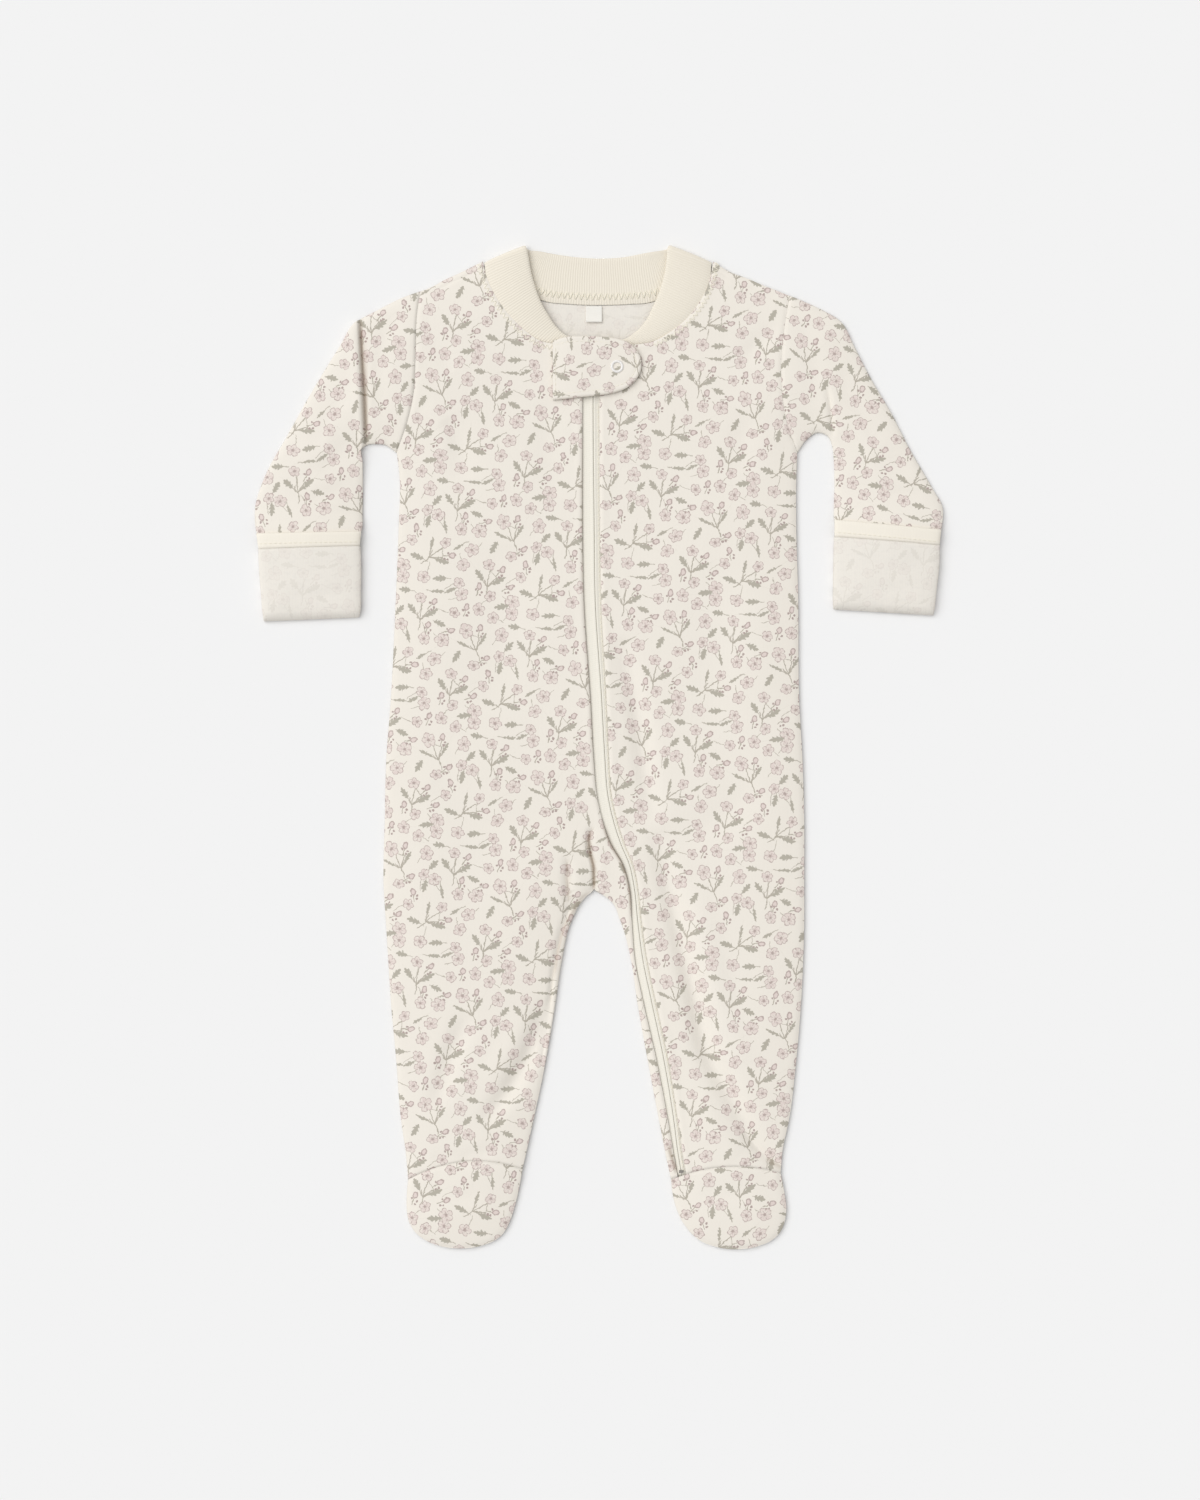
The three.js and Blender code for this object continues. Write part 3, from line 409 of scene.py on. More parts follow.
class StudioSettings(bpy.types.PropertyGroup):
    """Camera and light."""

    centre_x: length("Centre X", "Middle of the picture across the garment", 0.6)
    centre_y: length("Centre Y", "Middle of the picture along the garment", -1.5)
    frame_height: length("Picture height", "Height of the floor that the picture shows", 900)
    lens: FloatProperty(name="Lens", description="Focal length in millimetres", default=85)
    key: FloatProperty(name="Key light", description="Strength of the large soft light", default=1.79)
    key_softness: FloatProperty(name="Softness", description="Angle that the key light fills",
                                default=math.radians(62), subtype="ANGLE")
    fill: FloatProperty(name="Fill", description="Strength of the even light all round", default=0.515)


class SleepsuitSettings(bpy.types.PropertyGroup):
    """Everything that the sleepsuit's operators read."""

    cloth: PointerProperty(type=ClothSettings)
    pattern: PointerProperty(type=PrintSettings)
    colours: PointerProperty(type=ColourSettings)
    studio: PointerProperty(type=StudioSettings)


def settings():
    """The scene's settings for the sleepsuit."""
    return bpy.context.scene.sleepsuit


def cloth_mm(name):
    """A cloth setting in millimetres."""
    return getattr(settings().cloth, name) / MM


# Smooth lines


def chord(points):
    """Distance along a line of points up to each of them."""
    return np.concatenate([[0], np.cumsum(np.linalg.norm(np.diff(points, axis=0), axis=1))])


def smooth(s, values, at):
    """The smooth curve that goes through the values at s, read at other places."""
    values = np.asarray(values, float).reshape(len(s), -1)
    gap = np.diff(s)[:, None]
    slope = np.diff(values, axis=0) / gap
    tangent = np.vstack([slope[:1], slope[-1:]])
    if len(s) > 2:
        inner = (slope[:-1] * gap[1:] + slope[1:] * gap[:-1]) / (gap[:-1] + gap[1:])
        tangent = np.vstack([slope[:1], inner, slope[-1:]])
    i = np.clip(np.searchsorted(s, at, side="right") - 1, 0, len(s) - 2)
    wide = gap[i]
    t = (np.asarray(at)[:, None] - s[i][:, None]) / wide
    start = (2 * t**3 - 3 * t**2 + 1) * values[i] + (t**3 - 2 * t**2 + t) * wide * tangent[i]
    return start + (3 * t**2 - 2 * t**3) * values[i + 1] + (t**3 - t**2) * wide * tangent[i + 1]


def column(rows, name, y):
    """A column of a table that runs downwards, read at heights y."""
    return smooth(-rows["y"], rows[name], -np.atleast_1d(y))[:, 0]


def at_heights(rows, name, y):
    """Plan points of a column at heights y."""
    return np.stack([column(rows, name, y), y], axis=1)


def even_steps(start, end, step):
    """Values from start to end, about step apart."""
    return np.linspace(start, end, max(2, math.ceil(abs(end - start) / step) + 1))


def flowing(points, step=2.5):
    """A smooth line through points, with its own points about step apart."""
    s = chord(points)
    return smooth(s, points, even_steps(0, s[-1], step))


def divided(points, counts, corners=()):
    """A smooth line through points with a count of steps in each gap, sharp at the numbered corners."""
    s = chord(points)
    at = np.concatenate([np.linspace(s[i], s[i + 1], n + 1)[:-1] for i, n in enumerate(counts)] + [s[-1:]])
    ends = [0, *corners, len(points) - 1]
    made = np.empty((len(at), points.shape[1]))
    for first, last in zip(ends[:-1], ends[1:]):
        here = (at >= s[first] - 1e-9) & (at <= s[last] + 1e-9)
        run = slice(first, last + 1)
        made[here] = smooth(s[run], points[run], at[here])
    return made


def ends_of(rows, a, b):
    """The two edges that a table gives, as arrays of points."""
    return np.stack([rows[f"{a}X"], rows[f"{a}Y"]], 1), np.stack([rows[f"{b}X"], rows[f"{b}Y"]], 1)


def near(line, x, y):
    """How far each place is from a line, and where along the line it is nearest, from 0 to 1."""
    start, step = line[:-1], np.diff(line, axis=0)
    size = (step**2).sum(1)
    s = chord(line)
    distance, share = np.empty(len(x)), np.empty(len(x))
    block = max(1, 4_000_000 // len(start))
    for first in range(0, len(x), block):
        here = slice(first, first + block)
        dx, dy = x[here, None] - start[:, 0], y[here, None] - start[:, 1]
        t = np.clip((dx * step[:, 0] + dy * step[:, 1]) / size, 0, 1)
        apart = (dx - t * step[:, 0]) ** 2 + (dy - t * step[:, 1]) ** 2
        i = apart.argmin(1)
        rows = np.arange(len(i))
        distance[here] = np.sqrt(apart[rows, i])
        share[here] = (s[i] + t[rows, i] * np.sqrt(size[i])) / s[-1]
    return distance, share


def foot_line(name):
    """The rows of a foot below its ankle seam: their two edges and their bows."""
    rows = FEET[name]
    a, b = ends_of(rows, "a", "b")
    return a, b, rows["bow"]


def garment_outline():
    """The garment's outline in plan, all but the neck, as one dense line."""
    sides = even_steps(SIDES["y"][0], SIDES["y"][-1], 2.5)
    inner = INSEAMS["y"][0] - np.linspace(0, 1, 60) ** 1.4 * (INSEAMS["y"][0] - INSEAMS["y"][-1])

    def arm(name):
        rows = {key: values[:-ROWS_IN_MITT] for key, values in SLEEVES[name].items()}
        sleeve_in, sleeve_out = ends_of(rows, "in", "out")
        mitt_in, mitt_out = ends_of(MITTS[name], "in", "out")
        outer = np.vstack([flowing(sleeve_out), flowing(mitt_out)])
        inner_side = np.vstack([flowing(sleeve_in), flowing(mitt_in)])
        return [ARMHOLES[name][-1:], outer, inner_side[::-1]]

    def foot(name):
        a, b, bow = foot_line(name)
        toe = (a[-1:] + b[-1:]) / 2 + [[0, bow[-1]]]
        return [flowing(a), toe, flowing(b)[::-1]]

    right_arm = [line[::-1] for line in arm("right")[::-1]]
    return np.vstack([
        SHOULDERS["left"][::-1], *arm("left"), at_heights(SIDES, "left", sides),
        *foot("left"), at_heights(INSEAMS, "left", inner)[::-1],
        at_heights(INSEAMS, "right", inner)[1:], *foot("right"),
        at_heights(SIDES, "right", sides)[::-1], *right_arm, SHOULDERS["right"],
    ])


OUTLINE = garment_outline()
ZIP_STEPS = even_steps(ZIP["y"][0], ZIP["y"][-1], 3)
COIL_LINE = at_heights(ZIP, "coil", ZIP_STEPS)
ZIP_EDGES = {name: at_heights(ZIP, name, ZIP_STEPS) for name in ("left", "right")}


def ankle_points(name, x):
    """Points of an ankle seam at the given x."""
    (a, b), bow = ANKLES[name]
    f = ((np.atleast_1d(x) - a[0]) / (b[0] - a[0]))[:, None]
    return a + (b - a) * f + np.array([0, 4 * bow]) * f * (1 - f)


ANKLE_LINES = {name: ankle_points(name, np.linspace(*ANKLES[name][0][:, 0], 30)) for name in ANKLES}
SEAMS = [
    (flowing(ARMHOLES["left"]), 1.3, 0.4),
    (flowing(ARMHOLES["right"]), 1.3, 0.4),
    (ANKLE_LINES["left"], 1.2, 0.3),
    (ANKLE_LINES["right"], 1.2, 0.2),
    (SHOULDERS["left"] + [0.6, -3.4], 0.9, 0.35),
    (SHOULDERS["right"] + [-0.6, -3.4], 0.9, 0.35),
]
NECK_SEAMS = [flowing(NECK_FRONT[name]) for name in ("left", "right")]


# Heights of the cloth, in millimetres


def rounded(t, power=1.0):
    """Rises from 0 to 1 with a round shoulder."""
    return (1 - (1 - np.clip(t, 0, 1)) ** 2) ** power


def bell(t):
    """Falls smoothly from 1 at 0 to almost nothing past 2, on both sides."""
    return np.exp(-(t**2))


def within(points, reach, x, y):
    """Which places lie in the box round a line's points, widened by reach."""
    low, high = points.min(0) - reach, points.max(0) + reach
    return (x > low[0]) & (x < high[0]) & (y > low[1]) & (y < high[1])


def uneven(x, y, wide, start=0.0):
    """A slow, uneven wave from about -1 to 1 over the plan."""
    u, v = x / wide, y / wide
    return (np.sin(1.7 * u + 0.9 * v + start) + np.sin(-0.8 * u + 1.9 * v + 2.1 * start + 1)
            + np.sin(2.6 * u - 1.3 * v + 3.7 * start + 2)) / 3


def off_ends(share, steep):
    """Goes from 0 at both ends of a line to 1 further in."""
    return np.clip(steep * share * (1 - share), 0, 1)


# How creases draw the mesh's points to them: the greatest half width of a crease that does, how far it
# reaches, its pull on points close to it, and the distance over which the pull fades
GATHER = {"crease": 2.2, "reach": 9, "pull": 0.66, "wide": 3.5}


def gathered(plan, kept):
    """The plan with its points drawn towards the narrow creases, all but the kept ones."""
    plan = plan.copy()
    for points, half_width, depth in FRONT_CREASES + SLEEVE_CREASES:
        if half_width > GATHER["crease"] or depth < 0:
            continue
        line = flowing(points, 1)
        here = np.flatnonzero(within(points, GATHER["reach"], *plan.T) & ~kept)
        if len(here):
            distance, share = near(line, *plan[here].T)
            s = chord(line) / chord(line)[-1]
            foot = np.stack([np.interp(share, s, line[:, k]) for k in (0, 1)], 1)
            pull = GATHER["pull"] * bell(distance / GATHER["wide"]) * off_ends(share, 12)
            plan[here] += (foot - plan[here]) * pull[:, None]
    return plan


def creased(x, y, creases):
    """How far the cloth goes down along the given creases."""
    down = np.zeros(len(x))
    for points, half_width, depth in creases:
        here = within(points, 3 * half_width, x, y)
        if here.any():
            distance, share = near(flowing(points, 3), x[here], y[here])
            down[here] += depth * off_ends(share, 4) ** 0.6 * bell(distance / half_width)
    return down


def folded(x, y):
    """How deep in a narrow fold each place lies, from 0 to 1, which is how much painted shade it gets."""
    deep = np.zeros(len(x))
    for points, half_width, share in PAINTED_FOLD_SHADES:
        here = within(points, 4, x, y)
        if here.any():
            distance, along = near(flowing(points, 1), x[here], y[here])
            deep[here] = np.maximum(deep[here], share * off_ends(along, 8) * bell(distance / half_width))
    return deep


# Small puckers beside the seams: their depth, their spacing, and how far they reach
PUCKER = {"deep": 0.16, "wave": 4.5, "wide": 5.5}


def seamed(x, y):
    """How far the cloth goes down along the seams, with small puckers beside them."""
    down = np.zeros(len(x))
    for line, half_width, share in SEAMS:
        here = within(line, 14, x, y)
        if here.any():
            distance, _ = near(line, x[here], y[here])
            wave = uneven(x[here], y[here], PUCKER["wave"])
            pucker = PUCKER["deep"] * wave * bell(distance / PUCKER["wide"])
            valley = share * cloth_mm("seam_depth") * bell(distance / half_width)
            down[here] += valley + pucker
    return down


# How far from the outline the back curls up and the front rolls over, and the slack of the front: its
# height, its spacing, and how far from the outline it is full
CURL = 6
ROLL = 4
SLACK = {"high": 0.28, "wave": 26, "reach": 20}


def back_under(x, y):
    """Underside of the back."""
    inside, _ = near(OUTLINE, x, y)
    return cloth_mm("back_lift") * np.clip(1 - inside / CURL, 0, 1) ** 2


def back_over(x, y):
    """Upper side of the back, which shows inside the neck."""
    return back_under(x, y) + cloth_mm("wall")


def upper(x, y):
    """Top of the upper layer before its seams and creases."""
    inside, _ = near(OUTLINE, x, y)
    roll = cloth_mm("shoulder") * rounded(inside / ROLL, 0.7)
    puff = cloth_mm("puff") * rounded(inside / cloth_mm("puff_reach"))
    slack = SLACK["high"] * uneven(x, y, SLACK["wave"]) * np.clip(inside / SLACK["reach"], 0, 1)
    return cloth_mm("edge") + roll + puff + slack


# Raised lip beside an edge: its rise, its distance from the edge, its half width, and the groove's depth
ZIP_LIP = 0.3, 2.2, 1.8, 0.5
NECK_LIP = 0.2, 2.0, 1.6, 0.2
GROOVE = 0.7


def lip(line, x, y, rise, away, wide, groove):
    """A raised lip beside a line, with a narrow groove along the line."""
    distance, _ = near(line, x, y)
    return rise * bell((distance - away) / wide) - groove * bell(distance / GROOVE)


def front_over(x, y):
    """Top of the front panels and the feet."""
    top = upper(x, y) - creased(x, y, FRONT_CREASES) - seamed(x, y)
    for line in ZIP_EDGES.values():
        top += lip(line, x, y, *ZIP_LIP)
    for line in NECK_SEAMS:
        top += lip(line, x, y, *NECK_LIP)
    return np.maximum(top, back_under(x, y) + 2 * cloth_mm("wall") + 0.1)


def front_under(x, y):
    """Underside of the front panels and the feet."""
    return front_over(x, y) - cloth_mm("wall")


def sleeve_over(x, y):
    """Top of the sleeves, before the fold and the mitt lift them."""
    return upper(x, y) - creased(x, y, SLEEVE_CREASES) - seamed(x, y)


# How far the tapes lie under the fronts, and where and how far they dip under the foot
TAPE_DROP = 1.35
FOOT_DIP = {"y": -255.5, "long": 2.5, "deep": 1.6}
# The closed coil under the tapes: its half width, its rise, and the gap along its middle
COIL = {"half": 2.3, "rise": 0.85, "gap": 0.5, "gap_half": 0.32}
# The trough between the left front and the tapes, which is deeper beside the crotch
TROUGH = {"deep": 0.4, "half": 0.8, "y": -76, "long": 26, "deeper": 0.7}
WEAVE = {"deep": 0.05, "pitch": 1.4}


def tape_level(x, y):
    """Level of the zip's tapes, which dips under the foot and rises to the stop."""
    under_foot = np.clip((FOOT_DIP["y"] - y) / FOOT_DIP["long"], 0, 1)
    stop = np.exp(-(((y - STOP["y"]) / 2.2) ** 2) - ((x - STOP["x"]) / 2.4) ** 2)
    return upper(x, y) - TAPE_DROP - FOOT_DIP["deep"] * under_foot + STOP["rise"] * stop


def tape_over(x, y):
    """Top of the zip's tapes, which bulge over the closed coil and part in the middle."""
    distance, _ = near(COIL_LINE, x, y)
    bulge = COIL["rise"] * rounded(1 - distance / COIL["half"], 0.8)
    bulge -= COIL["gap"] * bell(distance / COIL["gap_half"])
    weave = WEAVE["deep"] * np.sin(y * 2 * np.pi / WEAVE["pitch"])
    fold, _ = near(ZIP_EDGES["left"], x, y)
    deep = TROUGH["deep"] + TROUGH["deeper"] * bell((y - TROUGH["y"]) / TROUGH["long"])
    trough = deep * bell(fold / TROUGH["half"])
    top = tape_level(x, y) + bulge - trough + weave * bell(distance / 2)
    return np.maximum(top, tape_under(x, y) + 0.3)


def tape_under(x, y):
    """Underside of the zip's tapes."""
    return np.maximum(tape_level(x, y) - 0.6 - cloth_mm("tape"), back_over(x, y))


# Meshes


def patch(a, b, fractions, bow=None):
    """Plan points in rows that run from edge a to edge b and arch by bow."""
    f = fractions[None, :, None]
    points = a[:, None] * (1 - f) + b[:, None] * f
    if bow is not None:
        points[..., 1] += np.asarray(bow)[:, None] * 4 * fractions * (1 - fractions)
    return points


def across(wide, fine=(0.35, 0.9, 1.6, 2.6, 4.0, 6.0)):
    """Fractions across a width, closer together near both ends."""
    near_end = np.array([0, *fine])
    near_end = near_end[near_end < 0.4 * wide]
    middle = even_steps(near_end[-1], wide - near_end[-1], cloth_mm("grid"))[1:-1]
    return np.concatenate([near_end, middle, wide - near_end[::-1]]) / wide


def joined(patches):
    """The points of several patches with shared ones kept once, and their faces, all turned upwards."""
    points = np.vstack([p.reshape(-1, 2) for p in patches])
    _, first, number = np.unique(np.round(points * 50).astype(int), axis=0, return_index=True,
                                 return_inverse=True)
    number = number.reshape(-1)
    faces = []
    start = 0
    for p in patches:
        rows, columns = p.shape[:2]
        n = number[start:start + rows * columns].reshape(rows, columns)
        faces.append(np.stack([n[:-1, :-1], n[:-1, 1:], n[1:, 1:], n[1:, :-1]], -1).reshape(-1, 4))
        start += rows * columns
    faces = np.vstack(faces)
    plan = points[first]
    corner = plan[faces]
    diagonals = corner[:, 2] - corner[:, 0], corner[:, 3] - corner[:, 1]
    turn = diagonals[0][:, 0] * diagonals[1][:, 1] - diagonals[0][:, 1] * diagonals[1][:, 0]
    faces[turn < 0] = faces[turn < 0, ::-1]
    kept = []
    for face in faces.tolist():
        seen = [v for i, v in enumerate(face) if v != face[i - 1]]
        if len(set(seen)) >= 3 and len(set(seen)) == len(seen):
            kept.append(seen)
    return plan, kept


def rim(faces):
    """The edges that only one face has, each in its face's direction."""
    edges = {(face[i - 1], face[i]) for face in faces for i in range(len(face))}
    return [(u, v) for u, v in edges if (v, u) not in edges]


def make_object(name, points, faces, materials, slots=None, uv=None):
    """A smooth object from points in millimetres; slots numbers each face's material."""
    mesh = bpy.data.meshes.new(name)
    mesh.from_pydata((np.asarray(points) * MM).tolist(), [], faces)
    mesh.polygons.foreach_set("use_smooth", np.ones(len(mesh.polygons), bool))
    for material in materials:
        mesh.materials.append(material)
    if slots is not None:
        mesh.polygons.foreach_set("material_index", np.asarray(slots, np.int32))
    if uv is not None:
        corner = np.empty(len(mesh.loops), np.int32)
        mesh.loops.foreach_get("vertex_index", corner)
        layer = mesh.uv_layers.new(name=UV_NAME)
        layer.uv.foreach_set("vector", (np.asarray(uv)[corner] * MM).astype(np.float32).ravel())
        # Painted shade of the narrow folds, stored for each point
        fold = mesh.attributes.new(FOLD_SHADE_NAME, "FLOAT", "POINT")
        fold.data.foreach_set("value", folded(*np.asarray(points)[:, :2].T).astype(np.float32))
    mesh.validate()
    made = bpy.data.objects.new(name, mesh)
    bpy.context.scene.collection.objects.link(made)
    return made


def turned(points, degrees, shift=(0, 0)):
    """Plan points turned about the origin and shifted, for the grain of a piece."""
    a = math.radians(degrees)
    x, y = points[:, 0], points[:, 1]
    return np.stack([x * math.cos(a) - y * math.sin(a), x * math.sin(a) + y * math.cos(a)], 1) + shift


def shell(name, patches, under, over, materials, grain=0, shift=(0, 0)):
    """A piece of cloth over patches. Its materials are those of its upper side, its underside and rim."""
    plan, faces = joined(patches)
    count = len(plan)
    edges = rim(faces)
    kept = np.isin(np.arange(count), edges)
    plan = gathered(plan, kept)
    x, y = plan.T
    points = np.vstack([np.column_stack([plan, over(x, y)]), np.column_stack([plan, under(x, y)])])
    below = [[v + count for v in face[::-1]] for face in faces]
    walls = [[u, u + count, v + count, v] for u, v in edges]
    slots = [0] * len(faces) + [1] * len(below) + [0] * len(walls)
    upper_uv = turned(plan, grain, shift)
    under_uv = turned(plan * [-1, 1] + [37, 21], -grain, shift)
    return make_object(name, points, faces + below + walls, materials, slots, np.vstack([upper_uv, under_uv]))


def between_rings(at):
    """The faces that join each ring of point numbers to the next, and the numbers moved on by one."""
    beside = np.roll(at, -1, axis=1)
    return np.stack([at[:-1], beside[:-1], beside[1:], at[1:]], -1), beside


def ring_points(plan, bottom, top):
    """The rings of a flattened tube: out along the bottom, round the side and back along the top."""
    rows = len(plan)
    low = np.concatenate([plan, bottom[..., None]], -1)
    high = np.concatenate([plan, top[..., None]], -1)[:, ::-1]
    outward = plan[:, -1] - plan[:, 0]
    outward /= np.linalg.norm(outward, axis=1)[:, None]
    side = np.zeros((rows, 2, 3))
    for i, (end, way) in enumerate(((-1, 1), (0, -1))):
        side[:, i, :2] = plan[:, end] + way * outward * 0.35
        side[:, i, 2] = (bottom[:, end] + top[:, end]) / 2
    return np.concatenate([low, side[:, :1], high, side[:, 1:]], 1)


def tube(name, plan, bottom, top, materials, under_slot, closed, grain, shift):
    """A flattened tube of cloth with its own wall; its plan is in rows from one end to the other."""
    wall = cloth_mm("wall")
    rows, columns = plan.shape[:2]
    inner_plan = plan.copy()
    outward = plan[:, -1] - plan[:, 0]
    outward /= np.linalg.norm(outward, axis=1)[:, None]
    inner_plan[:, 0] += outward * wall
    inner_plan[:, -1] -= outward * wall
    if closed:
        inner_plan[-1, :, 1] += wall
    outer = ring_points(plan, bottom, top)
    inner = ring_points(inner_plan, np.minimum(bottom + wall, top), np.maximum(top - wall, bottom))
    size = outer.shape[1]
    at = np.arange(rows * size).reshape(rows, size)
    skin, moved = between_rings(at)
    faces = skin.reshape(-1, 4).tolist()
    under = np.arange(size) < columns
    under[-1] = True
    slots = np.tile(np.where(under, under_slot, 0), rows - 1).tolist()
    gap = rows * size
    inside = (skin + gap)[..., ::-1].reshape(-1, 4).tolist()
    ends = [[at[0, k], at[0, k] + gap, moved[0, k] + gap, moved[0, k]] for k in range(size)]
    if closed:
        last = at[-1]
        for base, way in ((0, 1), (gap, -1)):
            ring = (last + base).tolist()
            for k in range(columns - 1):
                ends.append([ring[k], ring[k + 1], ring[2 * columns - k - 1], ring[2 * columns - k]][::way])
            ends.append([ring[columns - 1], ring[columns], ring[columns + 1]][::way])
            ends.append([ring[2 * columns], ring[2 * columns + 1], ring[0]][::way])
    else:
        ends += [[at[-1, k], moved[-1, k], moved[-1, k] + gap, at[-1, k] + gap] for k in range(size)]
    ends = [[int(v) for v in face] for face in ends]
    flat_uv = turned(outer[..., :2].reshape(-1, 2), grain, shift)
    outer_slots = slots + [2] * len(inside) + [0] * len(ends)
    points = np.vstack([outer.reshape(-1, 3), inner.reshape(-1, 3)])
    return make_object(name, points, faces + inside + ends, materials, outer_slots,
                       np.vstack([flat_uv, flat_uv]))


def finish_piece(piece, slot, *nodes):
    """Puts a piece on the frame and hides the nodes that it stands for; its slot is not used."""
    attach(piece, "root")
    if nodes:
        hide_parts(*nodes)
    return piece


def bead(sides=6):
    """One stitch along +X, one unit long and two units wide, as points and faces."""
    rings = [(-0.5, 0.0), (-0.42, 0.6), (-0.15, 1.0), (0.15, 1.0), (0.42, 0.6), (0.5, 0.0)]
    turns = np.arange(sides) * 2 * np.pi / sides
    points = np.array([(x, r * np.cos(t), r * np.sin(t)) for x, r in rings[1:-1] for t in turns]
                      + [(rings[0][0], 0, 0), (rings[-1][0], 0, 0)])
    faces = []
    for ring in range(len(rings) - 3):
        for k in range(sides):
            a, b = ring * sides + k, ring * sides + (k + 1) % sides
            faces.append([a, a + sides, b + sides, b])
    first, last = len(points) - 2, len(points) - 1
    top = (len(rings) - 3) * sides
    for k in range(sides):
        faces.append([first, k, (k + 1) % sides])
        faces.append([last, top + (k + 1) % sides, top + k])
    return points, faces


def stitches(name, runs, surface, slot, radius=0.22, sunk=0.1):
    """Sewn threads as one object. Each run is pairs of plan points, the two ends of each stitch."""
    shape, shape_faces = bead()
    points, faces = [], []
    for starts, ends in runs:
        a = np.column_stack([starts, surface(*starts.T)])
        b = np.column_stack([ends, surface(*ends.T)])
        a[:, 2] += radius - sunk
        b[:, 2] += radius - sunk
        along = b - a
        size = np.linalg.norm(along, axis=1)
        along /= size[:, None]
        side = np.cross([0, 0, 1], along)
        side /= np.linalg.norm(side, axis=1)[:, None]
        up = np.cross(along, side)
        for i in range(len(a)):
            middle = (a[i] + b[i]) / 2
            made = (middle + shape[:, :1] * size[i] * along[i] + shape[:, 1:2] * radius * side[i]
                    + shape[:, 2:] * radius * up[i])
            count = len(points) * len(shape)
            faces += [[v + count for v in face] for face in shape_faces]
            points.append(made)
    made = make_object(name, np.vstack(points), faces, [MATERIALS["thread"]])
    return finish_piece(made, slot)


def beside(line, away):
    """A line moved sideways, to its left where away is positive."""
    along = np.gradient(line, axis=0)
    along /= np.linalg.norm(along, axis=1)[:, None]
    return line + away * np.stack([-along[:, 1], along[:, 0]], 1)


def straight_run(line, stitch=2.3, gap=0.7):
    """Pairs of points for a row of plain stitches."""
    s = chord(line)
    starts = np.arange(0.3, s[-1] - stitch, stitch + gap)
    at = [np.stack([np.interp(starts + d, s, line[:, k]) for k in (0, 1)], 1) for d in (0, stitch)]
    return at[0], at[1]


def zigzag_run(line, wide=1.7, step=1.5):
    """Pairs of points for a row of zigzag stitches."""
    s = chord(line)
    at = np.arange(0, s[-1], step)
    middle = np.stack([np.interp(at, s, line[:, k]) for k in (0, 1)], 1)
    left, right = beside(middle, wide / 2), beside(middle, -wide / 2)
    even = (np.arange(len(at)) % 2 == 0)[:, None]
    corners = np.where(even, left, right)
    return corners[:-1], corners[1:]


# Materials


class Socket:
    """An output of a material's nodes. Python's operators on it add Math nodes."""

    def __init__(self, shader, link):
        self.shader = shader
        self.link = link

    def __add__(self, other):
        return self.shader.maths("ADD", self, other)

    def __sub__(self, other):
        return self.shader.maths("SUBTRACT", self, other)

    def __rsub__(self, other):
        return self.shader.maths("SUBTRACT", other, self)

    def __mul__(self, other):
        return self.shader.maths("MULTIPLY", self, other)

    def __truediv__(self, other):
        return self.shader.maths("DIVIDE", self, other)

    def __pow__(self, other):
        return self.shader.maths("POWER", self, other)

    def __lt__(self, other):
        return self.shader.maths("LESS_THAN", self, other)

    def __gt__(self, other):
        return self.shader.maths("GREATER_THAN", self, other)

    def __abs__(self):
        return self.shader.maths("ABSOLUTE", self)

    def __neg__(self):
        return self * -1

    __radd__ = __add__
    __rmul__ = __mul__


